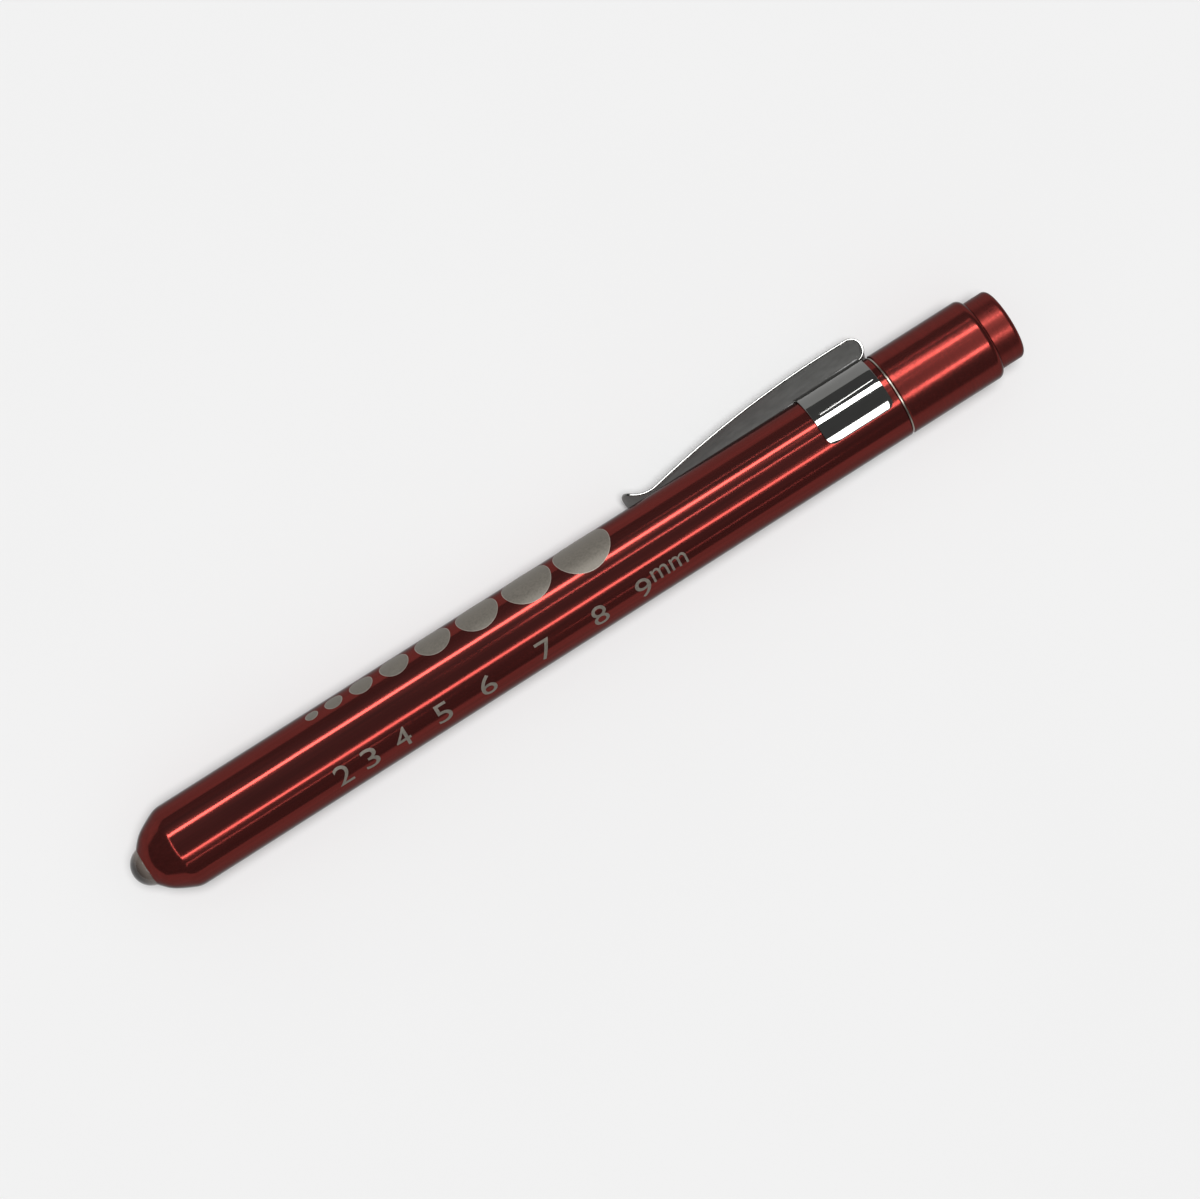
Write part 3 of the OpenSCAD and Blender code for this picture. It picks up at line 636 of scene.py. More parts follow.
def give_out(tree, geometry, material):
    """Ends a tree in realised instances with a material."""
    real = add(tree, "GeometryNodeRealizeInstances", {"Geometry": geometry})
    dressed = add(tree, "GeometryNodeSetMaterial", {"Geometry": real.outputs[0], "Material": material})
    add(tree, "NodeGroupOutput", {"Geometry": dressed.outputs[0]})


def coil_tree():
    """Round wire wound about X from one end and radius to another."""
    tree, given = node_tree(
        "wound_wire", ("Start", "Length", "Start Radius", "End Radius", "Wire"),
        ("Curls", "Rings", "Sides"),
    )
    line = add(tree, "GeometryNodeCurveSpiral", {
        "Resolution": given["Rings"], "Rotations": given["Curls"], "Height": given["Length"],
        "Start Radius": given["Start Radius"], "End Radius": given["End Radius"],
    })
    half = add(tree, "ShaderNodeMath", {0: given["Wire"], 1: 0.5}, operation="MULTIPLY")
    section = add(tree, "GeometryNodeCurvePrimitiveCircle", {
        "Resolution": given["Sides"], "Radius": half.outputs[0],
    })
    wire = add(tree, "GeometryNodeCurveToMesh", {
        "Curve": line.outputs[0], "Profile Curve": section.outputs[0], "Fill Caps": True,
    })
    start = add(tree, "ShaderNodeCombineXYZ", {"X": given["Start"]})
    laid = add(tree, "GeometryNodeTransform", {
        "Geometry": wire.outputs[0], "Translation": start.outputs[0],
        "Rotation": (0.0, math.pi / 2, 0.0),
    })
    give_out(tree, laid.outputs[0], given["Material"])
    return tree


def wrap(tree, geometry, given):
    """Ends a tree in flat geometry, x along the barrel and y across it, bent round the barrel.

    The row's angle falls by the slant for each unit of length from the first mark.
    """
    radius = given["Radius"]
    place = add(tree, "ShaderNodeSeparateXYZ", {
        0: add(tree, "GeometryNodeInputPosition").outputs[0],
    }).outputs
    bend = add(tree, "ShaderNodeMath", {0: place["Y"], 1: radius}, operation="DIVIDE")
    level = add(tree, "ShaderNodeMath", {0: bend.outputs[0], 1: given["Row"]}, operation="ADD")
    before = add(tree, "ShaderNodeMath", {0: given["First"], 1: place["X"]}, operation="SUBTRACT")
    turn = add(
        tree, "ShaderNodeMath", {0: before.outputs[0], 1: given["Slant"], 2: level.outputs[0]},
        operation="MULTIPLY_ADD",
    )
    out = add(tree, "ShaderNodeMath", {0: place["Z"], 1: radius}, operation="ADD")
    sine = add(tree, "ShaderNodeMath", {0: turn.outputs[0]}, operation="SINE")
    cosine = add(tree, "ShaderNodeMath", {0: turn.outputs[0]}, operation="COSINE")
    y = add(tree, "ShaderNodeMath", {0: out.outputs[0], 1: sine.outputs[0]}, operation="MULTIPLY")
    z = add(tree, "ShaderNodeMath", {0: out.outputs[0], 1: cosine.outputs[0]}, operation="MULTIPLY")
    there = add(tree, "ShaderNodeCombineXYZ", {"X": place["X"], "Y": y.outputs[0], "Z": z.outputs[0]})
    bent = add(tree, "GeometryNodeSetPosition", {"Geometry": geometry, "Position": there.outputs[0]})
    give_out(tree, bent.outputs[0], given["Material"])


def dot_tree():
    """Row of coins whose sizes and distances grow from one to the next, bent round the barrel."""
    tree, given = node_tree(
        "gauge_dots",
        ("First", "Pitch", "Stretch", "Smallest", "Step", "Swell", "Depth", "Radius", "Row", "Slant"),
        ("Dots", "Sides", "Rings"),
    )
    index = add(tree, "GeometryNodeInputIndex").outputs[0]

    def grows(start, step, rise):
        total = given[rise]
        for term in (step, start):
            total = add(
                tree, "ShaderNodeMath", {0: index, 1: total, 2: given[term]},
                operation="MULTIPLY_ADD",
            ).outputs[0]
        return total

    centre = add(tree, "ShaderNodeCombineXYZ", {"X": grows("First", "Pitch", "Stretch")})
    points = add(tree, "GeometryNodePoints", {"Count": given["Dots"], "Position": centre.outputs[0]})
    size = grows("Smallest", "Step", "Swell")
    scale = add(tree, "ShaderNodeCombineXYZ", {"X": size, "Y": size, "Z": 1.0})
    coin = add(tree, "GeometryNodeMeshCylinder", {
        "Vertices": given["Sides"], "Fill Segments": given["Rings"], "Radius": 0.5,
        "Depth": given["Depth"],
    }, fill_type="TRIANGLE_FAN")
    row = add(tree, "GeometryNodeInstanceOnPoints", {
        "Points": points.outputs[0], "Instance": coin.outputs[0], "Scale": scale.outputs[0],
    })
    real = add(tree, "GeometryNodeRealizeInstances", {"Geometry": row.outputs[0]})
    wrap(tree, real.outputs[0], given)
    return tree


def wrap_tree():
    """Flat marks bent round the barrel."""
    tree, given = node_tree("gauge_numbers", ("First", "Radius", "Row", "Slant"))
    wrap(tree, given["Geometry"], given)
    return tree


def flat_text(words, middle, top, width, height, depth, cut):
    """Words as a flat solid of a given size, cut across so that it can bend."""
    line = bpy.data.curves.new("words", "FONT")
    line.body = words
    # Half of the thickness, which makes the solid one unit thick until it is given its depth.
    line.extrude = 0.5
    holder = placed("words", line)
    mesh = made_mesh(holder)
    shape = bmesh.new()
    shape.from_mesh(mesh)
    bpy.data.objects.remove(holder)
    bpy.data.curves.remove(line)
    bpy.data.meshes.remove(mesh)
    bmesh.ops.remove_doubles(shape, verts=shape.verts, dist=CLOSE)
    low = [min(v.co[k] for v in shape.verts) for k in range(2)]
    high = [max(v.co[k] for v in shape.verts) for k in range(2)]
    for v in shape.verts:
        v.co.x = middle + ((v.co.x - low[0]) / (high[0] - low[0]) - 0.5) * width
        v.co.y = top + ((v.co.y - low[1]) / (high[1] - low[1]) - 1) * height
        v.co.z = v.co.z * depth
    for k in range(1, int(height / cut) + 1):
        bmesh.ops.bisect_plane(
            shape, geom=shape.verts[:] + shape.edges[:] + shape.faces[:],
            plane_co=(0, top - k * cut, 0), plane_no=(0, 1, 0),
        )
    return shape


def keep(piece, body, slot, *nodes, material=None):
    """Fixes a finished piece to its body, gives it a material where one is given, and hides the nodes it
    stands for; its slot is not used.
    """
    if material is not None:
        piece.data.materials.clear()
        piece.data.materials.append(material)
    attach(piece, body)
    if nodes:
        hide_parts(*nodes)


def dress(material, *nodes):
    """Gives CAD nodes a finish."""
    for node in nodes:
        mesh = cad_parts[node].data
        mesh.materials.clear()
        mesh.materials.append(material)


class PENLIGHT_OT_barrel(bpy.types.Operator):
    """Turns the barrel's smooth skin, with its conical nose and the seat of the lens"""

    bl_idname = "penlight.barrel"
    bl_label = "Barrel"

    def execute(self, context):
        body = context.scene.penlight.body
        nose, tail, radius = BARREL_LOW.x, BARREL_HIGH.x, BARREL_HIGH.y
        seat = nose + body.lip
        seat_end = seat + body.seat_depth
        skin = turned("barrel_skin", outline([
            (nose + body.hole_bevel, body.hole_radius),
            (nose, body.hole_radius + body.hole_bevel),
            (nose + body.brow_depth, body.brow_radius, body.brow),
            (nose + body.cheek_depth, body.cheek_radius, body.cheek),
            (nose + body.cone_length, radius, body.shoulder),
            (tail - body.joint_bevel, radius),
            (tail, radius - body.joint_bevel),
            (tail, body.bore),
            (seat_end + body.bore - body.seat_radius, body.bore),
            (seat_end, body.seat_radius),
            (seat, body.seat_radius),
            (seat, body.hole_radius),
        ]))
        red = drawn_anodised_aluminium(context.scene.penlight.finish)
        keep(skin, "barrel", "red_anodised", "barrel", material=red)
        return {"FINISHED"}


class PENLIGHT_OT_gauge(bpy.types.Operator):
    """Etches the row of growing dots and the row of their sizes round the barrel"""

    bl_idname = "penlight.gauge"
    bl_label = "Pupil gauge"

    # Distances of the numbers' middles from the nose, in millimetres.
    NUMBER_PLACES = {
        "2": 30.5, "3": 35.0, "4": 40.35, "5": 47.1, "6": 54.55, "7": 64.15, "8": 73.4, "9": 80.8,
    }

    def execute(self, context):
        gauge = context.scene.penlight.gauge
        nose = BARREL_LOW.x
        colours = context.scene.penlight.finish
        etched = etched_aluminium("laser_etched_aluminium", colours.etched, 0.72)
        lettered = etched_aluminium("laser_lettered_aluminium", colours.lettered, 0.72)
        # A brighter ring round each dot, a little wider than the dot and set lower.
        ring_metal = etched_aluminium("laser_outlined_aluminium", colours.outlined, 0.85)
        middle_radius = BARREL_HIGH.y + gauge.proud - gauge.depth / 2
        tree = dot_tree()
        for name, rim, depth, material in (
            ("gauge_dots", gauge.rim, gauge.depth, etched),
            ("gauge_dot_rims", 0.0, gauge.depth - gauge.proud, ring_metal),
        ):
            dots = grown(name, tree, {
                "First": nose + gauge.first, "Pitch": gauge.pitch, "Stretch": gauge.stretch,
                "Smallest": gauge.smallest - 2 * rim, "Step": gauge.step, "Swell": gauge.swell,
                "Depth": depth, "Radius": middle_radius, "Row": gauge.dot_row,
                "Slant": gauge.dot_slant / SLANT_LENGTH, "Dots": gauge.dots,
                "Sides": gauge.dot_sides, "Rings": gauge.dot_rings, "Material": material,
            })
            keep(dots, "barrel", "bare_metal")
        top = gauge.number_height / 2
        marks = [
            (words, place * MM, top, gauge.number_width, gauge.number_height)
            for words, place in self.NUMBER_PLACES.items()
        ]
        marks.append((
            "mm", gauge.unit_place, top + gauge.unit_rise, gauge.unit_width, gauge.unit_height
        ))
        flat = bmesh.new()
        for words, place, rise, width, height in marks:
            part = flat_text(words, nose + place, rise, width, height, gauge.depth, gauge.cut)
            mesh = bpy.data.meshes.new("mark")
            part.to_mesh(mesh)
            part.free()
            flat.from_mesh(mesh)
            bpy.data.meshes.remove(mesh)
        numbers = grown("gauge_numbers", wrap_tree(), {
            "First": nose + gauge.first, "Radius": middle_radius, "Row": -gauge.number_row,
            "Slant": gauge.number_slant / SLANT_LENGTH, "Material": lettered,
        }, flat)
        keep(numbers, "barrel", "bare_metal")
        return {"FINISHED"}


def strip_stations(clip, collar_radius, collar_tail):
    """Stations of the clip's arm: x, radius, direction, half width, curvature across and twist."""
    neck_steps, loop_steps, flat_steps, bow_steps, toe_steps, tip_steps = 2, 32, 10, 56, 20, 14
    crest = BARREL_HIGH.y + clip.crest - clip.sheet / 2
    loop = (crest - collar_radius) / 2
    loop_x = collar_tail + clip.loop_reach - loop - clip.sheet / 2
    bow_x = loop_x - clip.flat
    toe_x = bow_x - clip.bow
    toe = BARREL_HIGH.y + clip.toe_gap + clip.sheet / 2
    bow_angle = 2 * math.atan((crest - toe) / clip.bow)
    bow = clip.bow / math.sin(bow_angle) - clip.toe_radius
    across_neck = -1 / collar_radius
    stations = [
        (loop_x - clip.neck_root * (1 - part), collar_radius, 0.0, clip.neck, across_neck, 0.0)
        for part in parts(neck_steps)
    ]
    for part in parts(loop_steps, 1):
        turn = math.pi * part
        half = clip.neck + (clip.arm - clip.neck) * part
        # The collar's roundness runs out in the first third, and the arm's trough then sets in.
        curvature = across_neck * max(1 - 3 * part, 0) + clip.trough / half * max(1.5 * part - 0.5, 0)
        stations.append((
            loop_x + loop * math.sin(turn), collar_radius + loop - loop * math.cos(turn), turn, half,
            curvature, clip.twist * part,
        ))
    for part in parts(flat_steps, 1)[:-1]:
        stations.append((
            loop_x - clip.flat * part, crest, math.pi, clip.arm, clip.trough / clip.arm, clip.twist
        ))
    for part in parts(bow_steps):
        turn = bow_angle * part
        half = (1 - part) ** 2 * clip.arm + 2 * part * (1 - part) * clip.belly + part ** 2 * clip.tip
        stations.append((
            bow_x - bow * math.sin(turn), crest - bow + bow * math.cos(turn), math.pi + turn, half,
            clip.trough / half, clip.twist,
        ))
    for part in parts(toe_steps, 1):
        turn = bow_angle - (bow_angle + clip.flare) * part
        stations.append((
            toe_x + clip.toe_radius * math.sin(turn),
            toe + clip.toe_radius - clip.toe_radius * math.cos(turn),
            math.pi + turn, clip.tip, clip.trough / clip.tip, clip.twist,
        ))
    end_x, end_radius, direction = stations[-1][:3]
    for part in parts(tip_steps):
        turn = clip.tip_end * part
        run = clip.flare_length * math.sin(turn)
        stations.append((
            end_x - run * math.cos(clip.flare), end_radius + run * math.sin(clip.flare), direction,
            clip.tip * math.cos(turn), clip.trough / clip.tip, clip.twist * math.cos(turn),
        ))
    return stations


def strip_point(station, across):
    """A point of the arm's middle sheet, across its width from -1 to 1."""
    x, radius, direction, half, curvature, twist = station

    def bowed(part):
        reach = half * part
        return Vector((curvature * reach ** 2 / 2, reach))

    edge = bowed(1)
    off, side = edge + Matrix.Rotation(twist, 2) @ (bowed(across) - edge)
    return Vector((x - math.sin(direction) * off, radius + math.cos(direction) * off, side))


def rest_angle(clip, collar_outside, stations):
    """Angle below level at which the arm's lowest edge is level with the collar's underside."""
    angles = []
    lower_edge, inside_edge = -1, -0.9
    for station in stations:
        edge = strip_point(station, lower_edge)
        along = Vector((math.cos(station[2]), math.sin(station[2]), 0))
        back = (strip_point(station, inside_edge) - edge).normalized()
        edge -= back * clip.edge
        out = back.cross(along).normalized() * clip.sheet / 2
        for corner in ((edge + out).yz, (edge - out).yz):
            if corner.length > collar_outside:
                level = math.asin(collar_outside / corner.length)
                angles.append(level - math.atan2(-corner.y, corner.x))
    return min(angles)


def clip_sheet(clip, stations, collar_radius, collar_tail):
    """Middle sheet of the clip: split collar with rounded corners, notch, neck and arm."""
    neck_reach = clip.neck / collar_radius
    relief_reach = (clip.neck + clip.relief) / collar_radius
    corner_reach = clip.collar_reach - clip.corner / collar_radius
    half_neck_rows, wing_rows, corner_rows = 8, 44, 8
    middle = [(neck_reach * k / half_neck_rows, 0.0) for k in range(-half_neck_rows, half_neck_rows + 1)]
    wing_reach = corner_reach - relief_reach
    wing = [(relief_reach + wing_reach * part, 0.0) for part in parts(wing_rows)]
    for part in parts(corner_rows, 1):
        turn = math.pi / 2 * part
        reach = corner_reach + clip.corner / collar_radius * math.sin(turn)
        wing.append((reach, clip.corner * (1 - math.cos(turn))))
    rows = [(-turn, inset) for turn, inset in reversed(wing)] + middle + wing
    collar_front = collar_tail - clip.collar_length
    notch = stations[0][0]
    front_columns, tail_columns = 8, 2
    shape = bmesh.new()
    points = {}

    def point(row, column):
        if (row, column) not in points:
            turn, inset = rows[row]
            if column <= front_columns:
                part = column / front_columns
                x = (collar_front + inset) * (1 - part) + notch * part
            else:
                part = (column - front_columns) / tail_columns
                x = notch * (1 - part) + (collar_tail - inset) * part
            near_end = max(abs(turn) - clip.collar_reach + clip.curl_reach, 0) / clip.curl_reach
            radius = collar_radius - clip.curl * near_end ** 2
            points[row, column] = shape.verts.new((x, radius * math.cos(turn), radius * math.sin(turn)))
        return points[row, column]

    # Rows up to the relief's outer edge, with a little for rounding errors, lie in the notch.
    slack = relief_reach * 1.001
    for row in range(len(rows) - 1):
        in_notch = abs(rows[row][0]) < slack and abs(rows[row + 1][0]) < slack
        for column in range(front_columns if in_notch else front_columns + tail_columns):
            shape.faces.new((
                point(row, column), point(row, column + 1),
                point(row + 1, column + 1), point(row + 1, column),
            ))
    first = len(wing)
    edge = [point(first + k, front_columns) for k in range(len(middle))]
    for station in stations[1:]:
        ahead = [
            shape.verts.new(strip_point(station, 2 * k / (len(middle) - 1) - 1))
            for k in range(len(middle))
        ]
        for k in range(len(middle) - 1):
            face = shape.faces.new((edge[k], ahead[k], ahead[k + 1], edge[k + 1]))
            face.material_index = int(station[2] > 0)
        edge = ahead
    return shape


def thickened(sheet, thickness, edge_radius, steps=4):
    """A sheet's solid with a rounded rim, whose outer side keeps the finish of the sheet's faces."""
    bmesh.ops.recalc_face_normals(sheet, faces=sheet.faces)
    sheet.normal_update()
    first = next(iter(sheet.verts))
    outside = math.copysign(thickness / 2, first.normal.yz.dot(first.co.yz))
    turns = [math.pi / 2 * part for part in parts(steps, 1)]
    profile = [
        (1 - edge_radius * (1 - math.cos(turn)) / thickness * 2, edge_radius * math.sin(turn))
        for turn in turns
    ]
    profile += [(-level, out) for level, out in reversed(profile)]
    solid = bmesh.new()
    sides = [
        {v: solid.verts.new(v.co + v.normal * off) for v in sheet.verts}
        for off in (outside, -outside)
    ]
    for face in sheet.faces:
        outer = solid.faces.new([sides[0][v] for v in face.verts])
        outer.material_index = face.material_index
        solid.faces.new([sides[1][v] for v in face.verts])
    outward = {}
    border = [edge for edge in sheet.edges if edge.is_boundary]
    for edge in border:
        away = (edge.verts[0].co - edge.verts[1].co).cross(edge.link_faces[0].normal).normalized()
        middle = (edge.verts[0].co + edge.verts[1].co) / 2
        if away.dot(edge.link_faces[0].calc_center_median() - middle) > 0:
            away = -away
        for v in edge.verts:
            outward[v] = outward.get(v, Vector()) + away
    rims = {}
    for v, away in outward.items():
        rim = [
            solid.verts.new(v.co + v.normal * outside * level + away.normalized() * out)
            for level, out in profile
        ]
        rims[v] = [sides[0][v], *rim, sides[1][v]]
    for edge in border:
        one, other = (rims[v] for v in edge.verts)
        for k in range(len(one) - 1):
            solid.faces.new((one[k], other[k], other[k + 1], one[k + 1]))
    sheet.free()
    return solid


class PENLIGHT_OT_clip(bpy.types.Operator):
    """Bends the pocket clip from one sheet, with its collar, loop, bowed arm and flared tip"""

    bl_idname = "penlight.clip"
    bl_label = "Pocket clip"

    def execute(self, context):
        clip = context.scene.penlight.clip
        collar_radius = BARREL_HIGH.y + clip.clear + clip.sheet / 2
        collar_tail = BARREL_HIGH.x - clip.setback
        stations = strip_stations(clip, collar_radius, collar_tail)
        shape = clip_sheet(clip, stations, collar_radius, collar_tail)
        below = rest_angle(clip, collar_radius + clip.sheet / 2, stations)
        shape.transform(Matrix.Rotation(-below, 4, "X"))
        piece = as_piece("pocket_clip_sheet", thickened(shape, clip.sheet, clip.edge))
        colours = context.scene.penlight.finish
        piece.data.materials.append(bright_plate(colours))
        piece.data.materials.append(dull_plate(colours))
        keep(piece, "barrel", "bright_plate", "pocket_clip")
        return {"FINISHED"}


class PENLIGHT_OT_lamp(bpy.types.Operator):
    """Turns the domed lens, and finishes the LED, its leads, its holder and the brass pieces"""

    bl_idname = "penlight.lamp"
    bl_label = "Lens and LED"

    def execute(self, context):
        body = context.scene.penlight.body
        tip, back = LENS_LOW.x, LENS_HIGH.x
        dome_height = BARREL_LOW.x - tip
        dome = (body.lens_radius ** 2 + dome_height ** 2) / (2 * dome_height)
        spread = math.asin(body.lens_radius / dome)
        turns = [spread * part for part in parts(body.dome_rings)]
        points = [(tip + dome * (1 - math.cos(turn)), dome * math.sin(turn)) for turn in turns]
        seat = back - body.flange
        points += [
            (seat, body.lens_radius), (seat, LENS_HIGH.y), (back, LENS_HIGH.y), (back, 0.0)
        ]
        acrylic = clear_acrylic(tip, BARREL_LOW.x)
        keep(turned("lens_dome", points), "barrel", "clear_lens", "lens", material=acrylic)
        dress(clear_epoxy(), "led_body")
        # Hot dipped tin: soft silver with slight runs along the lead.
        dress(
            plated_metal("copper_tinned", "#a3a29d", "#c4c3be", (2.0, 0.3, 0.3), 0.2, 0.35),
            "led_leads",
        )
        # Moulded acetal: off-white, waxy and a little matt.
        dress(moulded_plastic("acetal_moulded", "#dedbd2", "#eae8e1", 0.35, 0.5), "led_holder")
        # Turned brass: yellow, with tool rings about the axis.
        dress(
            plated_metal("brass_turned", "#a8843a", "#c6a356", (0.12, 4, 4), 0.18, 0.3),
            "front_contact", "plunger",
        )
        # Rolled brass strip: yellow, with fine lines along the rolling.
        dress(
            plated_metal("brass_rolled", "#ad8b42", "#caa95e", (5, 0.15, 0.15), 0.2, 0.32),
            "ground_strip", "contact_plate",
        )
        return {"FINISHED"}


class PENLIGHT_OT_cells(bpy.types.Operator):
    """Finishes the two cells with bright cans, shrunk sleeves, seals and base plates"""

    bl_idname = "penlight.cells"
    bl_label = "Cells"

    def execute(self, context):
        # Nickel plated and drawn: bright grey with lines along the can.
        steel = plated_metal("steel_nickel_plated", "#8f9091", "#b4b5b4", (6, 0.25, 0.25), 0.16, 0.28)
        film = shrunk_film()
        # Moulded nylon: milky and slightly matt.
        nylon = moulded_plastic("nylon_moulded", "#d2cfc5", "#dfddd4", 0.4, 0.55)
        for cell in ("front_cell", "rear_cell"):
            dress(steel, cell + "_can", cell + "_base")
            dress(film, cell + "_sleeve")
            dress(nylon, cell + "_seal")
        return {"FINISHED"}


class PENLIGHT_OT_coupling(bpy.types.Operator):
    """Turns the coupling with its thread, bare ring and groove, and moulds the seal in it"""

    bl_idname = "penlight.coupling"
    bl_label = "Coupling and seal"

    def execute(self, context):
        thread = context.scene.penlight.thread
        body = context.scene.penlight.body
        front, back = COUPLING_LOW.x, COUPLING_HIGH.x
        face = CAP_LOW.x
        groove_front = SEAL_LOW.x - thread.groove_clear
        groove_back = SEAL_HIGH.x + thread.groove_clear
        first = front + thread.bevel
        wound_length = groove_front - first
        rows = round(wound_length / thread.pitch * thread.rows)
        wound = [(first + wound_length * part, thread.radius) for part in parts(rows)]
        shape = turned_shape([
            (front, thread.bore), (front, thread.radius - thread.bevel), *wound,
            (groove_front, thread.groove_radius), (groove_back, thread.groove_radius),
            (groove_back, thread.radius), (face - thread.ring_width, thread.radius),
            (face - thread.ring_width, COUPLING_HIGH.y), (face, COUPLING_HIGH.y),
            (face, thread.spigot), (back, thread.spigot), (back, thread.bore),
        ], body.segments)
        # Shares of the pitch: half of the thread's flat crest, and one flank.
        crest_share, flank_share = 0.06, 0.32
        for v in shape.verts:
            radius = v.co.yz.length
            if radius < thread.radius - CLOSE or not first <= v.co.x <= groove_front:
                continue
            phase = (v.co.x / thread.pitch - math.atan2(v.co.z, v.co.y) / (2 * math.pi)) % 1
            flank = min(1, max(0, (abs(phase - 0.5) - crest_share) / flank_share))
            ends = min(1, (v.co.x - first) / thread.pitch, (groove_front - v.co.x) / thread.pitch)
            v.co.yz = v.co.yz * (1 - flank * ends * thread.depth / radius)
        coupling = as_piece("coupling_threaded", shape)
        # Nickel plated brass, turned: bright silver with fine tool rings.
        silver = plated_metal("brass_nickel_plated", "#837c72", "#9b948a", (0.12, 5, 5), 0.24, 0.36)
        keep(coupling, "tail_cap", "bare_metal", "thread_coupling", material=silver)
        section = (SEAL_HIGH.x - SEAL_LOW.x) / 2
        middle = (SEAL_HIGH.x + SEAL_LOW.x) / 2
        ring = SEAL_HIGH.y - section
        points = [(middle + section * c, ring + section * s) for c, s in spokes(thread.seal_sides)]
        seal = turned("seal_moulded", points)
        keep(seal, "seal_ring", "seal_rubber", "o_ring", material=nitrile_rubber())
        return {"FINISHED"}


class PENLIGHT_OT_tail(bpy.types.Operator):
    """Turns the tail cap and the button, and finishes the bush"""

    bl_idname = "penlight.tail"
    bl_label = "Tail cap and button"

    def execute(self, context):
        body = context.scene.penlight.body
        colours = context.scene.penlight.finish
        polished = turned_anodised_aluminium("anodised_aluminium_turned", colours, 0.16, 0.23)
        tumbled = turned_anodised_aluminium("anodised_aluminium_tumbled", colours, 0.27, 0.35)
        front, back, radius = CAP_LOW.x, CAP_HIGH.x, CAP_HIGH.y
        web_front = front + body.socket_depth
        web_back = web_front + body.web
        cap = turned("tail_cap_skin", outline([
            (front, body.socket_radius),
            (front, radius - body.joint_bevel),
            (front + body.joint_bevel, radius),
            (back, radius, body.cap_edge),
            (back, body.well_radius),
            (web_back, body.well_radius),
            (web_back, body.web_hole),
            (web_front, body.web_hole),
            (web_front, body.socket_radius),
        ]))
        keep(cap, "tail_cap", "red_anodised", "tail_cap", material=polished)
        rim, face, radius = BUTTON_LOW.x, BUTTON_HIGH.x, BUTTON_HIGH.y
        inside = face - body.button_end
        button = turned("push_button_skin", outline([
            (rim, radius - body.button_wall),
            (rim, radius),
            (face, radius, body.button_edge),
            (face, 0.0),
            (inside, 0.0),
            (inside, body.boss_bore),
            (inside - body.boss_length, body.boss_bore),
            (inside - body.boss_length, body.boss_radius),
            (inside, body.boss_radius),
            (inside, radius - body.button_wall),
        ]))
        keep(button, "button", "red_anodised", "push_button", material=tumbled)
        # Glass-filled nylon, moulded: black and slightly rough.
        dress(moulded_plastic("nylon_black_moulded", "#151517", "#222224", 0.4, 0.6), "insulator_bush")
        return {"FINISHED"}


class PENLIGHT_OT_springs(bpy.types.Operator):
    """Winds the battery spring and the button's return spring, and finishes the retaining ring"""

    bl_idname = "penlight.springs"
    bl_label = "Springs"

    def execute(self, context):
        coils = context.scene.penlight.coils
        # Drawn spring steel: dark silver with die lines along the wire.
        wire = plated_metal("spring_steel_drawn", "#7d7f81", "#a0a2a3", (0.4, 0.2, 0.2), 0.2, 0.34)
        tree = coil_tree()
        common = {"Rings": coils.rings, "Sides": coils.sides, "Material": wire}
        feed_start = FEED_LOW.x + coils.feed_wire / 2
        feed = grown("battery_spring_wound", tree, {
            "Start": feed_start, "Length": FEED_HIGH.x - coils.feed_wire / 2 - feed_start,
            "Start Radius": coils.feed_tip, "End Radius": coils.feed_root,
            "Wire": coils.feed_wire, "Curls": coils.feed_curls, **common,
        })
        keep(feed, "tail_cap", "spring_wire", "battery_spring")
        return_start = RETURN_LOW.x + coils.return_wire / 2
        pushed = grown("return_spring_wound", tree, {
            "Start": return_start, "Length": RETURN_HIGH.x - coils.return_wire / 2 - return_start,
            "Start Radius": coils.return_radius, "End Radius": coils.return_radius,
            "Wire": coils.return_wire, "Curls": coils.return_curls, **common,
        })
        keep(pushed, "tail_cap", "spring_wire", "return_spring")
        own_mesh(pushed)
        dress(wire, "retaining_ring")
        return {"FINISHED"}


def strip_lamp(name, start, end, width, glow, target, lit):
    """A strip lamp from one point to another, facing a target, that lights only some objects."""
    along = end - start
    light = bpy.data.lights.new(name, "AREA")
    light.shape = "RECTANGLE"
    light.size = along.length
    light.size_y = width
    light.energy = glow * math.pi * along.length * width
    lamp = placed(name, light)
    middle = (start + end) / 2
    x_axis = along.normalized()
    z_axis = middle - target
    z_axis = (z_axis - x_axis * z_axis.dot(x_axis)).normalized()
    turn = Matrix((x_axis, z_axis.cross(x_axis), z_axis)).transposed()
    lamp.matrix_world = Matrix.Translation(middle) @ turn.to_4x4()
    lamp.visible_camera = False
    lamp.light_linking.receiver_collection = lit


def linked(name, state, *objects):
    """A collection that includes objects in a lamp's light or excludes them from it."""
    group = bpy.data.collections.new(name)
    for item in objects:
        group.objects.link(item)
    for entry in group.collection_objects:
        entry.light_linking.link_state = state
    return group


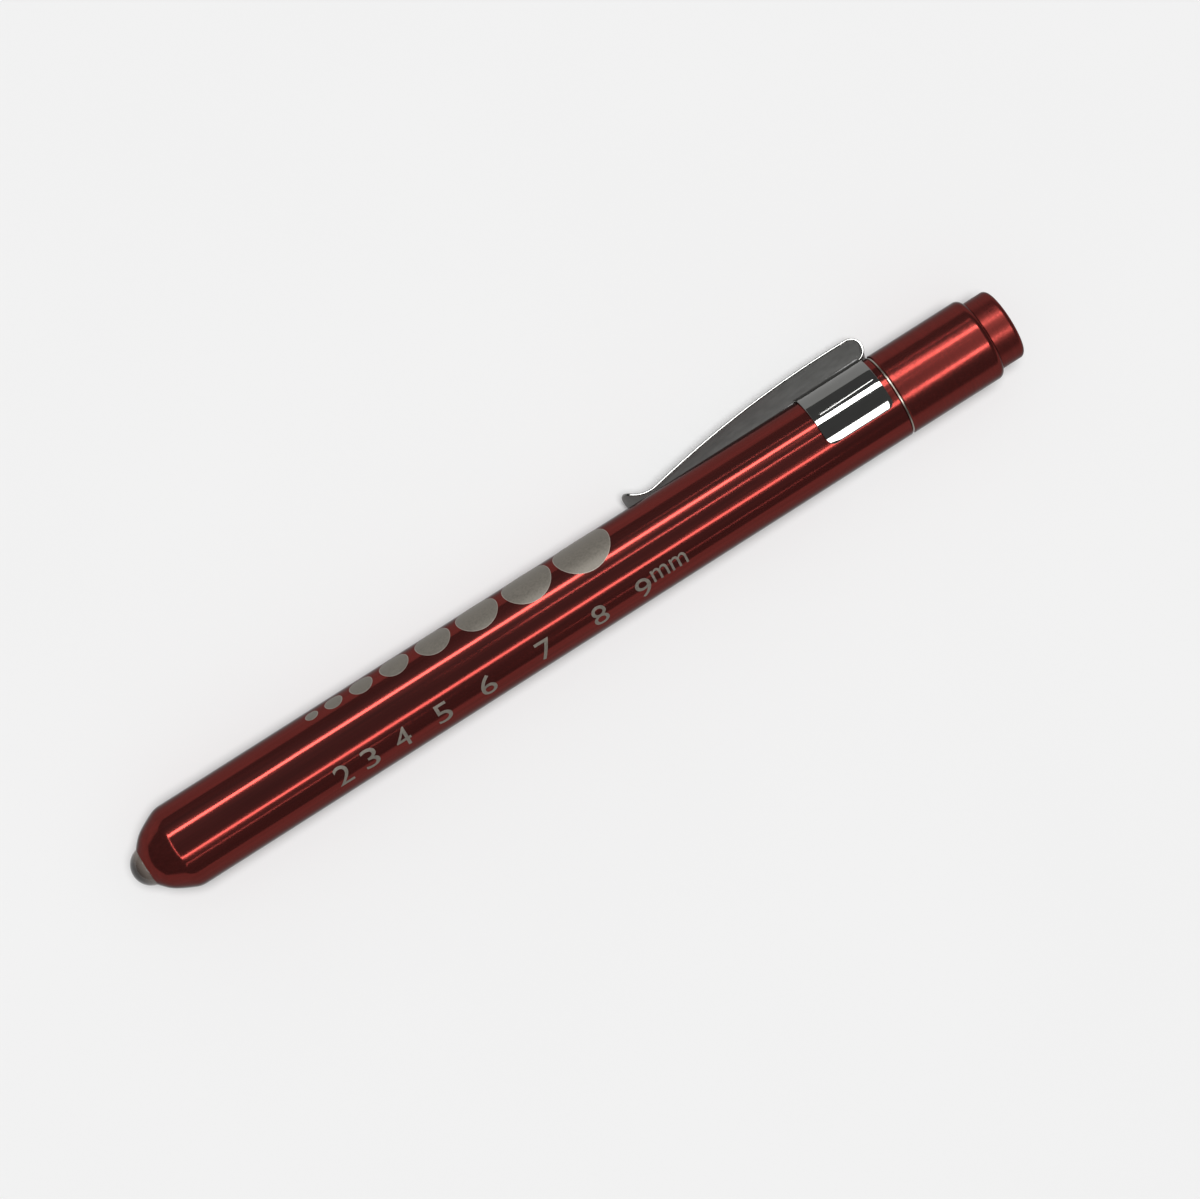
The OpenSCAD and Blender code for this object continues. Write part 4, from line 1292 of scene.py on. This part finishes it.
class PENLIGHT_OT_stage(bpy.types.Operator):
    """Lays the paper, hangs the lamps and sets the camera at the photograph's angle"""

    bl_idname = "penlight.stage"
    bl_label = "Stage"

    # Lamps along the barrel: place in millimetres and angle from the top towards the clip in
    # degrees at one end and at the other, width in millimetres, and share of the full glow.
    LAMPS = {
        "clip_lamp": ((-270, 37.2), (82, 37.2), 52, 1.4),
        "near_lamp": ((-270, -29.0), (82, -29.0), 44, 0.85),
        "clip_nose_lamp": ((-368, 41.0), (-272, 37.2), 54, 1.4),
        "near_nose_lamp": ((-375, -30.6), (-272, -29.0), 46, 0.85),
        "end_lamp": ((-380, -30.6), (-374, 41.0), 22, 0.6),
        "clip_tail_lamp": ((84, 29.9), (260, 29.9), 62, 1.4),
        "near_tail_lamp": ((84, -24.4), (260, -24.4), 58, 1.35),
        "ceiling_line": ((-33, 11.2), (68, 11.2), 17, 0.9),
        "clip_wall_line": ((5, 55.5), (82, 55.5), 8, 0.4),
        "cap_wall_line": ((84, 55.5), (125, 55.5), 9, 0.9),
        "nose_line": ((-270, -48.0), (-87, -48.0), 10, 0.42),
        "nose_end_line": ((-353, -56.7), (-272, -48.0), 11, 0.42),
        "near_wall_line": ((-27, -63.5), (55, -63.5), 10, 0.25),
        "ceiling_panel": ((84, 3.0), (260, 3.0), 380, 0.085),
    }
    # The clip's own lamps, as wide as its brighter mirror shows them.
    CLIP_LAMPS = {
        "clip_edge_lamp": ((-270, 37.1), (300, 37.1), 100, 1.4),
        "clip_line": ((58, 50.5), (82, 56.0), 6, 0.8),
        "clip_near_lamp": ((-270, -20.0), (85, -20.0), 165, 0.9),
    }

    def execute(self, context):
        scene = context.scene
        stage = scene.penlight.stage
        scene.view_settings.view_transform = "Standard"
        paper = self.lay_paper(scene, stage)
        clip = scene.objects["pocket_clip_sheet"]
        self.hang_lamps(stage, self.LAMPS, linked("not_lit_by_lamps", "EXCLUDE", paper, clip))
        self.hang_lamps(stage, self.CLIP_LAMPS, linked("lit_by_clip_lamps", "INCLUDE", clip))
        # This one also fills the arm's inner side, which the barrel would shade.
        bpy.data.lights["clip_near_lamp"].use_shadow = False
        self.light_paper(scene, stage, linked("lit_by_sky", "INCLUDE", paper))
        self.set_camera(scene, stage)
        return {"FINISHED"}

    def lay_paper(self, scene, stage):
        """A wide sheet that rises gently at its rim, so that low views stay pale."""
        floor = CAD_BOX[0].z
        shape = bmesh.new()
        around = spokes(stage.paper_sides)
        middle = shape.verts.new((0, 0, floor))
        previous = None
        for part in parts(stage.paper_rings):
            reach = stage.paper_flat + (stage.paper_rim - stage.paper_flat) * part
            height = floor + stage.paper_rise * part ** 2
            ring = [shape.verts.new((reach * c, reach * s, height)) for c, s in around]
            for side in range(stage.paper_sides):
                after = (side + 1) % stage.paper_sides
                if previous is None:
                    shape.faces.new((middle, ring[side], ring[after]))
                else:
                    shape.faces.new((previous[side], ring[side], ring[after], previous[after]))
            previous = ring
        paper = as_piece("background_paper", shape)
        paper.data.materials.append(studio_paper(scene.penlight.finish))
        return paper

    def hang_lamps(self, stage, lamps, lit):
        """Strip lamps at one distance from the barrel's axis, that light only some objects."""
        middle = Vector((BARREL_LOW.x / 2, 0, 0))
        for name, (start, end, width, share) in lamps.items():
            ends = []
            for x, degrees in (start, end):
                turn = math.radians(degrees)
                across = Vector((0, math.sin(turn), math.cos(turn))) * stage.lamp_distance
                ends.append(Vector((x * MM, 0, 0)) + across)
            strip_lamp(name, *ends, width * MM, share * stage.lamp_glow, middle, lit)

    def light_paper(self, scene, stage, lit):
        """A soft even light on the paper, and a dim room."""
        sky = bpy.data.lights.new("sky", "SUN")
        sky.energy = stage.sky
        sky.angle = stage.sky_spread
        placed("sky", sky).light_linking.receiver_collection = lit
        world = bpy.data.worlds.new("room")
        world.use_nodes = True
        backdrop = world.node_tree.nodes["Background"]
        backdrop.inputs["Color"].default_value = (stage.room, stage.room, stage.room, 1.0)
        scene.world = world

    def set_camera(self, scene, stage):
        """A camera over the nose that leans towards the tail, turned as the photograph is."""
        forward = Vector((math.sin(stage.lean), 0, -math.cos(stage.lean)))
        along = Vector((math.cos(stage.lean), 0, math.sin(stage.lean)))
        across = Vector((0, 1, 0))
        right = along * math.cos(stage.roll) - across * math.sin(stage.roll)
        up = along * math.sin(stage.roll) + across * math.cos(stage.roll)
        lens = bpy.data.cameras.new("camera")
        lens.lens = stage.lens
        camera = placed("camera", lens)
        turn = Matrix((right, up, -forward)).transposed()
        place = Vector((BARREL_HIGH.x - stage.aim, -stage.aside, 0)) - forward * stage.distance
        camera.matrix_world = Matrix.Translation(place) @ turn.to_4x4()
        scene.camera = camera


OPERATORS = (
    PENLIGHT_OT_barrel, PENLIGHT_OT_gauge, PENLIGHT_OT_clip, PENLIGHT_OT_lamp, PENLIGHT_OT_cells,
    PENLIGHT_OT_coupling, PENLIGHT_OT_tail, PENLIGHT_OT_springs, PENLIGHT_OT_stage,
)


class PENLIGHT_PT_panel(bpy.types.Panel):
    """Lists the penlight's pieces and settings"""

    bl_idname = "PENLIGHT_PT_panel"
    bl_label = "Penlight"
    bl_space_type = "VIEW_3D"
    bl_region_type = "UI"
    bl_category = "Penlight"

    def draw(self, context):
        for operator in OPERATORS:
            self.layout.operator(operator.bl_idname)
        for group in PenlightSettings.__annotations__:
            owner = getattr(context.scene.penlight, group)
            box = self.layout.box()
            for name in owner.__annotations__:
                box.prop(owner, name)


CLASSES = (
    BodySettings, ThreadSettings, ClipSettings, CoilSettings, GaugeSettings, FinishSettings,
    StageSettings, PenlightSettings, *OPERATORS, PENLIGHT_PT_panel,
)


def register():
    for cls in CLASSES:
        bpy.utils.register_class(cls)
    bpy.types.Scene.penlight = PointerProperty(type=PenlightSettings)


def unregister():
    del bpy.types.Scene.penlight
    for cls in reversed(CLASSES):
        bpy.utils.unregister_class(cls)


def main():
    """Builds the penlight and its stage."""
    register()
    for operator in OPERATORS:
        group, name = operator.bl_idname.split(".")
        getattr(getattr(bpy.ops, group), name)()


if __name__ == "__main__":
    main()
